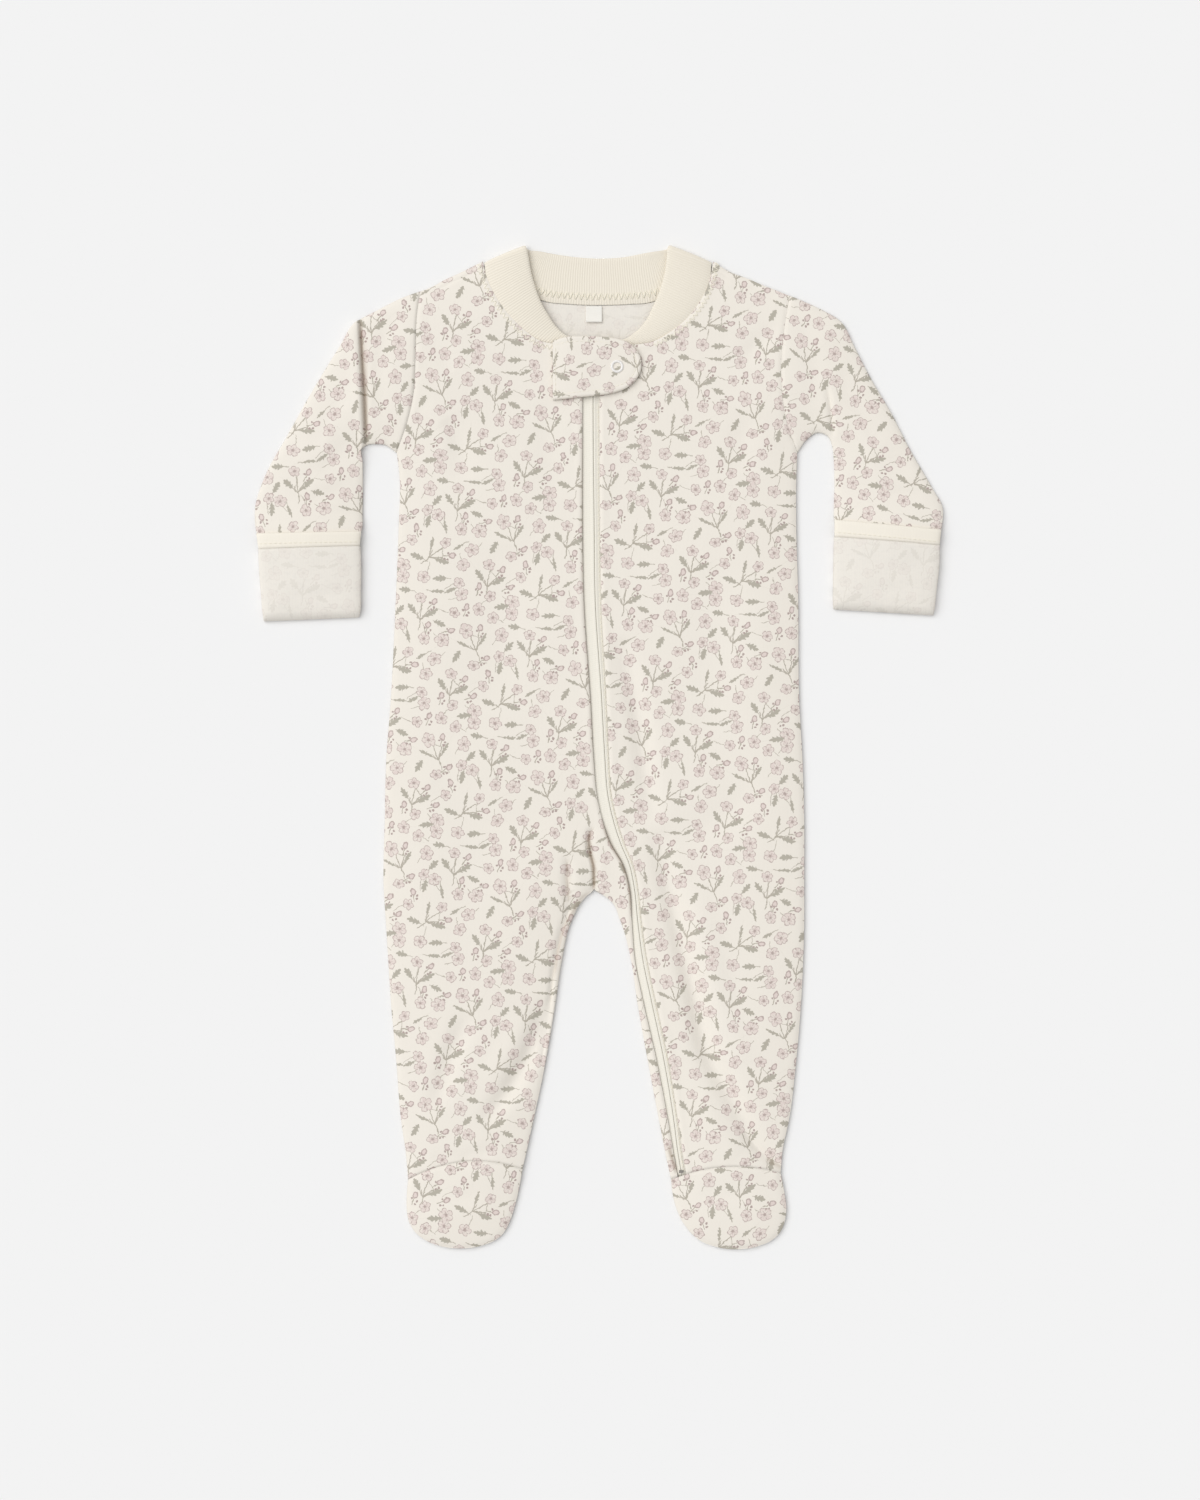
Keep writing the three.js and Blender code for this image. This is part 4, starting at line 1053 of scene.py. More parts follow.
class Shader:
    """A material, and the nodes that are added to it."""

    def __init__(self, name):
        self.material = bpy.data.materials.new(name)
        self.material.use_nodes = True
        self.tree = self.material.node_tree
        self.surface = self.tree.nodes["Principled BSDF"]

    def node(self, kind, fields=None, values=None, output=0):
        """Adds a node: its own fields first, then the values or links of its sockets."""
        made = self.tree.nodes.new(kind)
        for name, value in (fields or {}).items():
            setattr(made, name, value)
        for name, value in (values or {}).items():
            if isinstance(value, Socket):
                self.tree.links.new(value.link, made.inputs[name])
            else:
                made.inputs[name].default_value = value
        return Socket(self, made.outputs[output])

    def maths(self, operation, *values):
        """A Math node on one, two or three values."""
        return self.node("ShaderNodeMath", {"operation": operation}, dict(enumerate(values)))

    def vector(self, operation, *values, output=0):
        """A Vector Math node."""
        return self.node("ShaderNodeVectorMath", {"operation": operation}, dict(enumerate(values)), output)

    def mix(self, factor, a, b):
        """A mix of two colours."""
        a, b = [v if isinstance(v, Socket) else (*v, 1) for v in (a, b)]
        values = {0: factor, 6: a, 7: b}
        return self.node("ShaderNodeMix", {"data_type": "RGBA"}, values, output=2)

    def choose(self, factor, a, b):
        """A mix of two vectors."""
        return self.node("ShaderNodeMix", {"data_type": "VECTOR"}, {0: factor, 4: a, 5: b}, output=1)

    def soft(self, value, low, high):
        """Goes smoothly from 0 at low to 1 at high."""
        values = {"Value": value, "From Min": low, "From Max": high}
        return self.node("ShaderNodeMapRange", {"interpolation_type": "SMOOTHSTEP"}, values)

    def pen(self, distance, inner, outer):
        """A drawn line: 1 up to inner from its middle, and 0 from outer on."""
        return 1 - self.soft(abs(distance), inner, outer)

    def run(self, value, start, full, fade, end):
        """Goes from 0 at start to 1 at full, and back from 1 at fade to 0 at end."""
        return self.soft(value, start, full) * (1 - self.soft(value, fade, end))

    def xyz(self, vector):
        """The three parts of a vector."""
        x = self.node("ShaderNodeSeparateXYZ", values={0: vector})
        return [Socket(self, part) for part in x.link.node.outputs]

    def xy(self, vector):
        """The first two parts of a vector."""
        return self.xyz(vector)[:2]

    def noise(self, vector, scale, detail=2.0, output=0):
        """A noise pattern, whose output is even round 0.5."""
        values = {"Vector": vector, "Scale": scale, "Detail": detail}
        return self.node("ShaderNodeTexNoise", values=values, output=output)

    def turn(self, vector, angle):
        """A vector turned about Z."""
        values = {"Vector": vector, "Angle": angle}
        return self.node("ShaderNodeVectorRotate", {"rotation_type": "Z_AXIS"}, values)

    def grain(self):
        """The place on the cloth, in millimetres along its grain."""
        uv = self.node("ShaderNodeUVMap", {"uv_map": UV_NAME})
        return self.node("ShaderNodeVectorMath", {"operation": "SCALE"}, {0: uv, 3: 1 / MM})

    def painted_fold_shade(self, tone, share=0.62):
        """A colour with painted shade, darker and warmer, inside the narrow folds."""
        deep = self.node("ShaderNodeAttribute", {"attribute_name": FOLD_SHADE_NAME}, output="Fac")
        return self.mix(deep * share, tone, (0.26, 0.17, 0.1))

    def feed(self, name, value):
        """Links a socket of the surface, or sets it where it is the same all over."""
        if isinstance(value, Socket):
            self.tree.links.new(value.link, self.surface.inputs[name])
        else:
            self.surface.inputs[name].default_value = value

    def bump(self, height, strength, depth):
        """Feeds a height to the surface's normal; depth is in millimetres."""
        values = {"Height": height, "Strength": strength, "Distance": depth * MM}
        self.feed("Normal", self.node("ShaderNodeBump", values=values))

    def finish(self, tone, roughness, constants, *bump):
        """Feeds the surface its colour, roughness, constants and bump, and returns the material."""
        for name, value in {"Base Color": tone, "Roughness": roughness, **constants}.items():
            self.feed(name, value)
        self.bump(*bump)
        return self.material


def knit_height(shader, place, wale, course):
    """The columns of small V stitches of a jersey, as a height from 0 to 1."""
    u, v = shader.xy(place)
    side = abs(shader.maths("FRACT", u / wale) - 0.5) * 2
    turn = shader.maths("SINE", (v / course + side * 0.45) * (2 * math.pi))
    return (1 - side * side) * (turn * 0.3 + 0.7)


# Groups of motifs: the kind, place and turn of each, from the group's foot, growing along +Y
SPRIG = [("sprig", 0, 0, 0), ("leaf", -5.8, 6.2, 2.33), ("leaf", 6.2, 5.1, 0.68),
         ("flower", -1.4, 13.2, 0.4), ("bud", 7.2, 12.0, -0.5)]
PAIR = [("flower", -3.5, 0, 0), ("flower", 3.3, 1.2, 0.7), ("leaf", 0.8, -5.6, -1.2)]
REACH = {"flower": 3.9, "leaf": 3.0, "bud": 2.2, "sprig": 1.2}
UPRIGHT = {"flower": 1.0, "leaf": 1.0, "bud": 0.3}


def scatter(pattern):
    """Places of the print's motifs in one repeat: a list for each kind of (x, y, turn)."""
    tile = pattern.tile / MM
    random = np.random.default_rng(pattern.seed)
    found = {kind: [] for kind in REACH}
    taken = []

    def spots(group, x, y, turn):
        c, s = math.cos(turn), math.sin(turn)
        return [(kind, x + c * a - s * b, y + s * a + c * b, turn + way) for kind, a, b, way in group]

    def room(kind, x, y):
        apart = [math.hypot((x - a + tile / 2) % tile - tile / 2, (y - b + tile / 2) % tile - tile / 2)
                 - r - REACH[kind] for a, b, r in taken]
        return min(apart, default=tile)

    def put(group, upright, tries=90):
        best, chosen = -tile, None
        for _ in range(tries):
            x, y = random.uniform(0, tile, 2)
            made = spots(group, x, y, random.uniform(-math.pi, math.pi) * upright)
            free = min(room(kind, a, b) for kind, a, b, _ in made)
            if free > best:
                best, chosen = free, made
        for kind, x, y, turn in chosen:
            found[kind].append((x % tile - tile / 2, y % tile - tile / 2, turn))
            taken.append((x, y, REACH[kind]))

    for _ in range(pattern.sprigs):
        put(SPRIG, 0.22)
    for _ in range(pattern.pairs):
        put(PAIR, 0.5)
    for kind, count in (("flower", pattern.flowers), ("leaf", pattern.leaves), ("bud", pattern.buds)):
        for _ in range(count - len(found[kind]) if kind != "leaf" else count):
            put([(kind, 0, 0, 0)], UPRIGHT[kind])
    return found


# A spot's Z holds its turn, made this much smaller so that distances are nearly those in the plan
TURN_SCALE = 100


def nearest(shader, place, spots, tile, reach):
    """The place seen from the nearest of some spots and turned with it, and that spot's turn."""
    shown = []
    for x, y, turn in spots:
        for dx in (-tile, 0, tile):
            for dy in (-tile, 0, tile):
                if abs(x + dx) < tile / 2 + reach and abs(y + dy) < tile / 2 + reach:
                    shown.append((x + dx, y + dy, turn / TURN_SCALE))
    centre, least = None, None
    for spot in shown:
        apart = shader.vector("DISTANCE", place, spot, output="Value")
        if centre is None:
            centre, least = spot, apart
            continue
        centre = shader.choose(apart < least, centre, spot)
        least = shader.maths("MINIMUM", least, apart)
    offset = shader.vector("SUBTRACT", place, centre)
    spin = shader.xyz(centre)[2] * TURN_SCALE
    return shader.turn(offset, -spin), spin


def flower_print(shader, place, ground):
    """The colour of the printed cloth: small flowers, serrated leaves, buds and thin branching stems."""
    pattern, colours = settings().pattern, settings().colours
    tile = pattern.tile / MM
    wander = shader.noise(place, 0.55, 3.0, output="Color")
    wander = shader.vector("SUBTRACT", wander, (0.5, 0.5, 0.5))
    wander = shader.node("ShaderNodeVectorMath", {"operation": "SCALE"}, {0: wander, 3: 2.0})
    ink_place = shader.turn(shader.vector("ADD", place, wander), pattern.turn)
    half = (tile / 2,) * 3
    in_tile = shader.vector("WRAP", ink_place, half, tuple(-h for h in half))
    flat = shader.vector("MULTIPLY", in_tile, (1, 1, 0))
    spots, leaf = scatter(pattern), pattern.leaf / MM
    result = ground

    # The stems of a sprig: the way that each goes from the foot, how it bends, and its length
    local, _ = nearest(shader, flat, spots["sprig"], tile, 15)
    stems = None
    for way, bend, long in ((2.33, 0.06, 4.6), (0.68, -0.05, 4.2), (1.66, 0.01, 10), (1.05, 0.012, 8.2),
                            (-1.3, 0.05, 6)):
        along = shader.vector("DOT_PRODUCT", local, (math.cos(way), math.sin(way), 0), output="Value")
        side = shader.vector("DOT_PRODUCT", local, (-math.sin(way), math.cos(way), 0), output="Value")
        line = shader.pen(side + along * along * bend, 0.16, 0.44)
        line = line * shader.run(along, -0.3, 0.1, long - 0.2, long + 0.3)
        stems = line if stems is None else shader.maths("MAXIMUM", stems, line)
    result = shader.mix(stems, result, colours.stem)

    # Serrated leaves on short stalks
    local, spin = nearest(shader, flat, spots["leaf"], tile, leaf * 0.9)
    along, side = shader.xy(local)
    size = shader.maths("SINE", spin * 9) * 0.12 + 0.98
    slim = 1 - shader.soft(shader.maths("SINE", spin * 5), 0.3, 0.6) * 0.42
    t = along / (size * leaf) + 0.5
    body = shader.maths("MAXIMUM", t * (1 - t) * 4, 0) ** 0.7
    tooth = shader.maths("FRACT", t * 3.6 + 0.2)
    edge = body * (tooth * 0.62 + 0.5) * slim * (leaf * 0.235)
    blade = shader.soft(edge - abs(side), -0.1, 0.18)
    bend = (along + leaf * 0.5) * (along + leaf * 0.5) * 0.06
    stalk = shader.run(along, -leaf * 0.88, -leaf * 0.82, -leaf * 0.42, -leaf * 0.3)
    stalk = shader.pen(side - bend, 0.14, 0.42) * stalk
    leaf_ink = shader.mix(shader.soft(abs(side), 0.0, 0.35), colours.stem, colours.leaf)
    result = shader.mix(stalk * 0.8, result, colours.stem)
    result = shader.mix(blade, result, leaf_ink)

    # Closed buds on stalks, with two berries beside each
    local, _ = nearest(shader, flat, spots["bud"], tile, 7)
    x, y = shader.xy(local)
    from_bud = shader.vector("LENGTH", shader.vector("MULTIPLY", local, (0.62, 0.45, 0)), output="Value")
    bud = 1 - shader.soft(from_bud, 0.92, 1.1)
    bud_line = bud * shader.soft(from_bud, 0.5, 0.8)
    stalk = shader.pen(x - y * 0.12, 0.14, 0.42) * shader.run(y, -6.3, -6, -1.9, -1.5)
    result = shader.mix(stalk, result, colours.stem)
    for spot in ((1.9, -3.1, 0), (-1.7, -2.2, 0), (1.2, -4.9, 0)):
        berry = shader.vector("DISTANCE", local, spot, output="Value")
        result = shader.mix(1 - shader.soft(berry, 0.5, 0.85), result, colours.petal_line)
    result = shader.mix(bud, result, colours.petal)
    result = shader.mix(bud_line * 0.85, result, colours.petal_line)

    # Open flowers of five petals
    local, spin = nearest(shader, flat, spots["flower"], tile, 9)
    x, y = shader.xy(local)
    curl = x + y * y * 0.045 * shader.maths("SIGN", shader.maths("SINE", spin * 11))
    stalk = shader.pen(curl, 0.1, 0.36) * shader.run(y, -9.4, -9, -3.4, -3)
    result = shader.mix(stalk * 0.85, result, colours.stem)
    radius = (shader.maths("SINE", spin * 7) * 0.13 + 0.9) * (pattern.flower / MM)
    out = shader.vector("LENGTH", shader.vector("MULTIPLY", local, (1, 1, 0)), output="Value")
    angle = shader.maths("ARCTAN2", y, x)
    lobe = abs(shader.maths("COSINE", angle * 2.5))
    lopsided = shader.maths("SINE", angle * 2 + spin * 5) * 0.07
    reach = (lobe**0.55 * 0.33 + 0.67 + lopsided) * radius
    inside = shader.soft(reach - out, -0.12, 0.16)
    line = inside * (1 - shader.soft(reach - out, 0.2, 0.62))
    between = (1 - shader.soft(lobe, 0.1, 0.42)) * shader.soft(out / radius, 0.3, 0.55) * inside
    vein = shader.soft(lobe, 0.93, 0.995) * (1 - shader.soft(out / radius, 0.35, 0.6))
    heart = 1 - shader.soft(out, 0.5, 1.35)
    washed = shader.soft(shader.noise(place, 0.5), 0.35, 0.7) * 0.75
    petal = shader.mix(washed, colours.petal, ground)
    result = shader.mix(inside, result, petal)
    drawn = shader.soft(shader.noise(place, 0.6), 0.3, 0.55) * 0.55 + 0.4
    ink = shader.maths("MAXIMUM", shader.maths("MAXIMUM", line * drawn, between * 0.6),
                       shader.maths("MAXIMUM", heart * 0.9, vein * 0.7))
    return shader.mix(ink, result, colours.petal_line)


SOFT_COTTON = {"Specular IOR Level": 0.2, "Sheen Weight": 0.08}


def printed_knit():
    """Right side of the printed jersey."""
    shader = Shader("printed_knit")
    place = shader.grain()
    knit = knit_height(shader, place, 0.8, 0.65)
    slub = shader.noise(place, 0.12, 3.0)
    ground = shader.mix(slub * 0.06, settings().colours.cream, (0.72, 0.68, 0.6))
    inked = flower_print(shader, place, ground)
    # Painted shade: darker between the stitches where the knit lies low, and darker and warmer inside the
    # narrow folds
    shade = shader.mix((1 - knit) * 0.09, inked, (0.55, 0.5, 0.44))
    fuzz = shader.noise(place, 2.2, 3.0)
    return shader.finish(shader.painted_fold_shade(shade), 0.93 - knit * 0.08, SOFT_COTTON, knit * 0.7 + fuzz * 0.5,
                         0.35, 0.16)


def wrong_side_knit():
    """Wrong side of the same jersey, with the print showing through."""
    shader = Shader("wrong_side_knit")
    place = shader.grain()
    rows = shader.turn(place, math.pi / 2)
    purl = knit_height(shader, rows, 0.7, 1.6)
    plain = settings().colours.wrong_side
    slub = shader.noise(place, 0.15, 3.0)
    mottle = shader.soft(shader.noise(place, 0.45, 4.0), 0.45, 0.7) * 0.12
    ground = shader.mix(slub * 0.1 + mottle, plain, (0.66, 0.64, 0.62))
    inked = flower_print(shader, place, ground)
    ghost = shader.mix(0.16, ground, inked)
    # Painted shade, darker between the purl stitches where the knit lies low
    shade = shader.mix((1 - purl) * 0.1, ghost, (0.55, 0.5, 0.45))
    return shader.finish(shade, 0.95 - purl * 0.06, {"Specular IOR Level": 0.15},
                         purl * 0.6 + shader.noise(place, 2.0, 3.0) * 0.6, 0.4, 0.18)


def plain_knit(name, shade, wale, course, depth):
    """Plain jersey in one colour with small random changes of tone and painted shade between its stitches."""
    shader = Shader(name)
    place = shader.grain()
    knit = knit_height(shader, place, wale, course)
    slub = shader.noise(place, 0.2, 3.0)
    # Painted shade where the knit lies low, with random slub
    colour_here = shader.mix((1 - knit) * 0.1 + slub * 0.05, shade, (0.6, 0.53, 0.42))
    return shader.finish(colour_here, 0.94 - knit * 0.08, {"Specular IOR Level": 0.2},
                         knit + shader.noise(place, 2.0, 2.0) * 0.4, 0.4, depth)


def rib_knit():
    """Fine one-by-one rib, whose ribs cross the neckband."""
    shader = Shader("cream_rib")
    place = shader.grain()
    along, over = shader.xy(place)
    sway = shader.noise(place, 0.08) * 1.2
    rib = shader.maths("COSINE", (along + sway) * (2 * math.pi / 1.45)) * 0.5 + 0.5
    course = shader.maths("SINE", over * (2 * math.pi / 0.7) + rib * 2) * 0.5 + 0.5
    slub = shader.noise(place, 0.2, 3.0)
    # Painted shade in the valleys between the ribs, with random slub
    colour_here = shader.mix((1 - rib) * 0.13 + slub * 0.04, settings().colours.rib, (0.6, 0.52, 0.38))
    return shader.finish(colour_here, 0.95 - rib * 0.08, SOFT_COTTON,
                         rib ** 0.7 + course * 0.18 + shader.noise(place, 2.0) * 0.25, 0.5, 0.32)


def woven(name, shade, dark, pitch, depth):
    """Fine close weave, such as a zip's tape or a label."""
    shader = Shader(name)
    place = shader.grain()
    u, v = shader.xy(place)
    warp = shader.maths("SINE", u * (2 * math.pi / pitch)) * 0.5 + 0.5
    weft = shader.maths("SINE", v * (2 * math.pi / pitch) + (u - v) * 1.3) * 0.5 + 0.5
    cover = shader.maths("MAXIMUM", warp, weft)
    slub = shader.noise(place, 0.4, 3.0)
    # Painted shade in the gaps between the threads, with random slub; the narrow folds get painted shade too
    tone = shader.mix((1 - cover) * 0.25 + slub * 0.06, shade, dark)
    return shader.finish(shader.painted_fold_shade(tone), 0.8 - cover * 0.15, {"Specular IOR Level": 0.3}, cover, 0.4,
                         depth)


def by_place(name, colour_of, roughness_of, constants, scale, strength, depth):
    """A material whose detail follows the place in space."""
    shader = Shader(name)
    place = shader.node("ShaderNodeTexCoord", output="Object")
    grit = shader.noise(place, scale, 4.0)
    return shader.finish(colour_of(shader, grit), roughness_of(grit), constants, grit, strength, depth)


MATERIALS = {}


def make_materials():
    """Every material of the sleepsuit, by name."""
    colours = settings().colours
    MATERIALS.update({
        "printed": printed_knit(),
        "wrong_side": wrong_side_knit(),
        "binding": plain_knit("cream_binding", colours.binding, 0.9, 0.7, 0.15),
        "rib": rib_knit(),
        "tape": woven("zip_tape", colours.tape, (0.55, 0.5, 0.4), 0.9, 0.12),
        "label": woven("woven_label", colours.label, (0.6, 0.58, 0.52), 0.5, 0.08),
        "thread": by_place(
            "thread", lambda s, g: s.mix(g * 0.3, colours.thread, (0.6, 0.56, 0.46)),
            lambda g: 0.75 - g * 0.2, {"Specular IOR Level": 0.35}, 2500, 0.5, 0.06),
        "pearl": by_place(
            "pearl_plastic", lambda s, g: s.mix(g * 0.25, colours.pearl, (0.75, 0.72, 0.78)),
            lambda g: 0.16 + g * 0.12, {"Coat Weight": 0.6, "Coat Roughness": 0.08}, 400, 0.08, 0.02),
        "metal": by_place(
            "zip_metal", lambda s, g: s.mix(g, colours.metal, (0.32, 0.3, 0.28)),
            lambda g: 0.25 + g * 0.25, {"Metallic": 1.0}, 900, 0.25, 0.03),
        "floor": by_place(
            "studio_floor", lambda s, g: s.mix(g * 0.03, colours.floor, (0.8, 0.8, 0.8)),
            lambda g: 0.8 + g * 0.1, {"Specular IOR Level": 0.1}, 30, 0.05, 0.1),
    })


# Pieces


def front_materials():
    """Printed cloth with its right side up."""
    return [MATERIALS["printed"], MATERIALS["wrong_side"]]


def back_materials():
    """Printed cloth with its wrong side up."""
    return front_materials()[::-1]


def paint(node, material):
    """Gives a part of the frame one of the sleepsuit's materials."""
    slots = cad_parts[node].data.materials
    slots.clear()
    slots.append(MATERIALS[material])


def leg_heights():
    """Heights of the rows of a leg, from the crotch to the ankle, closer together at the crotch."""
    top, end = INSEAMS["y"][0], INSEAMS["y"][-1]
    first = top - np.array([0, 0.5, 1.2, 2.1, 3.2, 4.5, 6])
    return np.concatenate([first, even_steps(first[-1], end, cloth_mm("grid"))[1:]])


def leg_rows(name, rows_a, side_a, rows_b, side_b):
    """The two edges and bows of a leg piece's rows, which turn into the arch of the ankle seam."""
    y = leg_heights()
    a, b = at_heights(rows_a, side_a, y), at_heights(rows_b, side_b, y)
    end = np.vstack([ankle_points(name, a[-1, 0]), ankle_points(name, b[-1, 0])])
    arch = np.clip((y - ARCH_START) / (y[-1] - ARCH_START), 0, 1) ** 2
    a[:, 1] += arch * (end[0, 1] - y[-1])
    b[:, 1] += arch * (end[1, 1] - y[-1])
    (ankle_a, ankle_b), bow = ANKLES[name]
    share = (end[1, 0] - end[0, 0]) / (ankle_b[0] - ankle_a[0])
    return a, b, arch * bow * share**2


def yoke_edges(name, inner, corner):
    """The two edges of a yoke: up the armhole and the shoulder, and up the middle and round the neck."""
    outer = np.vstack([ARMHOLES[name], SHOULDERS[name][:-1], inner[-1:]])
    gaps = np.maximum(np.diff(chord(outer)), np.diff(chord(inner)))
    counts = np.ceil(gaps / cloth_mm("grid")).astype(int)
    top = len(ARMHOLES[name]) - 1
    return divided(outer, counts, [top]), divided(inner, counts, [corner])


def torso_heights():
    """Heights of the rows between the armpits and the crotch."""
    return even_steps(SIDES["y"][0], CROTCH[1], cloth_mm("grid"))


def back_patches():
    """The back in two halves: torso, yoke and leg."""
    made = []
    fractions = across(118)
    y = torso_heights()
    middle = np.stack([np.full(len(y), CROTCH[0]), y], 1)
    for name in ("left", "right"):
        neck = NECK_BACK[name]
        below = len(ARMHOLES[name]) + len(SHOULDERS[name]) - len(neck)
        up = middle[0] + (neck[0] - middle[0]) * (np.arange(below) / below)[:, None]
        outer, inner = yoke_edges(name, np.vstack([up, neck]), below)
        a, b, bow = leg_rows(name, SIDES, name, INSEAMS, name)
        made += [patch(at_heights(SIDES, name, y), middle, fractions), patch(outer, inner, fractions),
                 patch(a, b, fractions, bow)]
    return made


def front_yoke(name):
    """The edges of a front's yoke."""
    neck = NECK_FRONT[name]
    low = SIDES["y"][0]
    zip_side = at_heights(ZIP, name, np.array([low, (low + neck[0, 1]) / 2]))
    return yoke_edges(name, np.vstack([zip_side, neck]), 2)


def front_left_patches():
    """The left front, with its strip across the crotch and down the inside of the right leg."""
    strip_wide = column(ZIP, "left", CROTCH[1])[0] - CROTCH[0]
    y = torso_heights()
    side, zip_edge = at_heights(SIDES, "left", y), at_heights(ZIP, "left", y)
    split = zip_edge - [strip_wide, 0]
    share = (split[0, 0] - side[0, 0]) / (zip_edge[0, 0] - side[0, 0])
    outer, inner = front_yoke("left")
    yoke_split = outer + (inner - outer) * share
    a, b, bow = leg_rows("left", SIDES, "left", INSEAMS, "left")
    c, d, strip_bow = leg_rows("right", INSEAMS, "right", ZIP, "left")
    main, strip = across(98), across(21)
    return [patch(side, split, main), patch(split, zip_edge, strip), patch(outer, yoke_split, main),
            patch(yoke_split, inner, strip), patch(a, b, main, bow), patch(c, d, strip, strip_bow)]


def front_right_patches():
    """The right front."""
    y = torso_heights()
    fractions = across(116)
    outer, inner = front_yoke("right")
    a, b, bow = leg_rows("right", SIDES, "right", ZIP, "right")
    return [patch(at_heights(SIDES, "right", y), at_heights(ZIP, "right", y), fractions),
            patch(outer, inner, fractions), patch(a, b, fractions, bow)]


def foot_patch(name):
    """The plan of a foot below its ankle seam."""
    (ankle_a, ankle_b), ankle_bow = ANKLES[name]
    a, b, bow = foot_line(name)
    rows = np.column_stack([np.vstack([ankle_a, a]), np.vstack([ankle_b, b]),
                            np.concatenate([[ankle_bow], bow])])
    s = chord(rows[:, :4])
    dense = smooth(s, rows, even_steps(0, s[-1], cloth_mm("grid") * 1.2))
    return patch(dense[:, :2], dense[:, 2:4], across(68), dense[:, 4])


def sleeve_plan(name):
    """The plan of a sleeve in dense rows, with the rise and the lift of each."""
    rows = SLEEVES[name]
    a, b = ends_of(rows, "in", "out")
    fractions = across(84)
    hole = flowing(ARMHOLES[name], 1)
    s = chord(hole) / chord(hole)[-1]
    first = np.stack([np.interp(fractions, s, hole[:, k]) for k in (0, 1)], 1)
    plan = np.concatenate([first[None], patch(a, b, fractions)])
    s = chord(plan[:, [0, len(fractions) // 2, -1]].reshape(len(plan), -1)) / math.sqrt(3)
    at = np.unique(np.concatenate([even_steps(0, s[-1], cloth_mm("grid")), s]))
    dense = smooth(s, plan.reshape(len(plan), -1), at).reshape(len(at), -1, 2)
    rise, lift = [np.interp(at, s, np.concatenate([[0], rows[key]])) for key in ("rise", "lift")]
    return dense, rise[:, None], lift[:, None]


def on_plan(height, plan):
    """A height read at every point of a plan."""
    return height(*plan.reshape(-1, 2).T).reshape(plan.shape[:2])


SLEEVE_GRAIN = {"left": -12, "right": 14}


def mitt_over(x, y):
    """Top of the mitts, before they sink to their folded end."""
    stack = cloth_mm("mitt_lift") + cloth_mm("wall") + 0.3
    return upper(x, y) + stack - creased(x, y, MITT_CREASES)


# How far the front's seam edge of the band is tucked in and down, the height at which that has faded out
# and over what length; how far the band sinks below the top of the cloth; and the spacing of its sections
TUCK = {"in": 1.2, "down": 0.45, "y": 290, "fade": 15}
BAND_SINK = 1.45
BAND_STEP = 1.6


def band_sections():
    """The neckband's cross sections, each from the seam edge to the free edge, with the way it faces."""
    def levels(run, rows):
        ends = {}
        for edge in ("seam", "free"):
            x, y = rows[f"{edge}X"], rows[f"{edge}Y"]
            fall = rows["fall"] if edge == "free" else 0
            if edge == "seam" and run != "back":
                across_band = np.stack([x - rows["freeX"], y - rows["freeY"]])
                tuck = np.clip((TUCK["y"] - y) / TUCK["fade"], 0, 1)
                inward = across_band / np.linalg.norm(across_band, axis=0)
                x, y = np.stack([x, y]) + TUCK["in"] * tuck * inward
                fall = TUCK["down"] * tuck
            flat = back_under(x, y) + cloth_mm("band") / 2 - fall
            above = np.maximum(upper(x, y) - BAND_SINK, back_under(x, y) + cloth_mm("band") + 0.3)
            z = flat if run == "back" else above + cloth_mm("band") / 2 - rows["dip"] - fall
            ends[edge] = np.stack([x, y, z], 1)
        return ends["seam"], ends["free"]

    def dense(run):
        names = list(BAND_RUNS[run])
        rows = np.stack([BAND_RUNS[run][n] for n in names], 1)
        s = chord((rows[:, :2] + rows[:, 2:4]) / 2)
        made = smooth(s, rows, even_steps(0, s[-1], BAND_STEP))
        return dict(zip(names, made.T))

    def straight(run, facing):
        seam, free = levels(run, dense(run))
        return [(p, q, np.array([0, 0, facing], float)) for p, q in zip(seam, free)]

    def fold(row):
        front, back = levels("front", row), levels("back", row)
        along = front[1][0] - front[0][0]
        along[2] = 0
        along /= np.linalg.norm(along)
        out = np.array([-along[1], along[0], 0]) * np.sign(along[0])
        made = []
        for turn in np.radians(np.linspace(0, 180, 12)[1:-1]):
            facing = np.array([0, 0, 1]) * math.cos(turn) + out * math.sin(turn)
            p, q = [(f[0] + b[0]) / 2 + facing * (f[0, 2] - b[0, 2]) / 2 for f, b in zip(front, back)]
            made.append((p, q, facing))
        return made

    left_end = {key: values[-1:] for key, values in BAND_RUNS["left"].items()}
    right_end = {key: values[:1] for key, values in BAND_RUNS["right"].items()}
    return (straight("left", 1) + fold(left_end) + straight("back", -1) + fold(right_end)[::-1]
            + straight("right", 1))


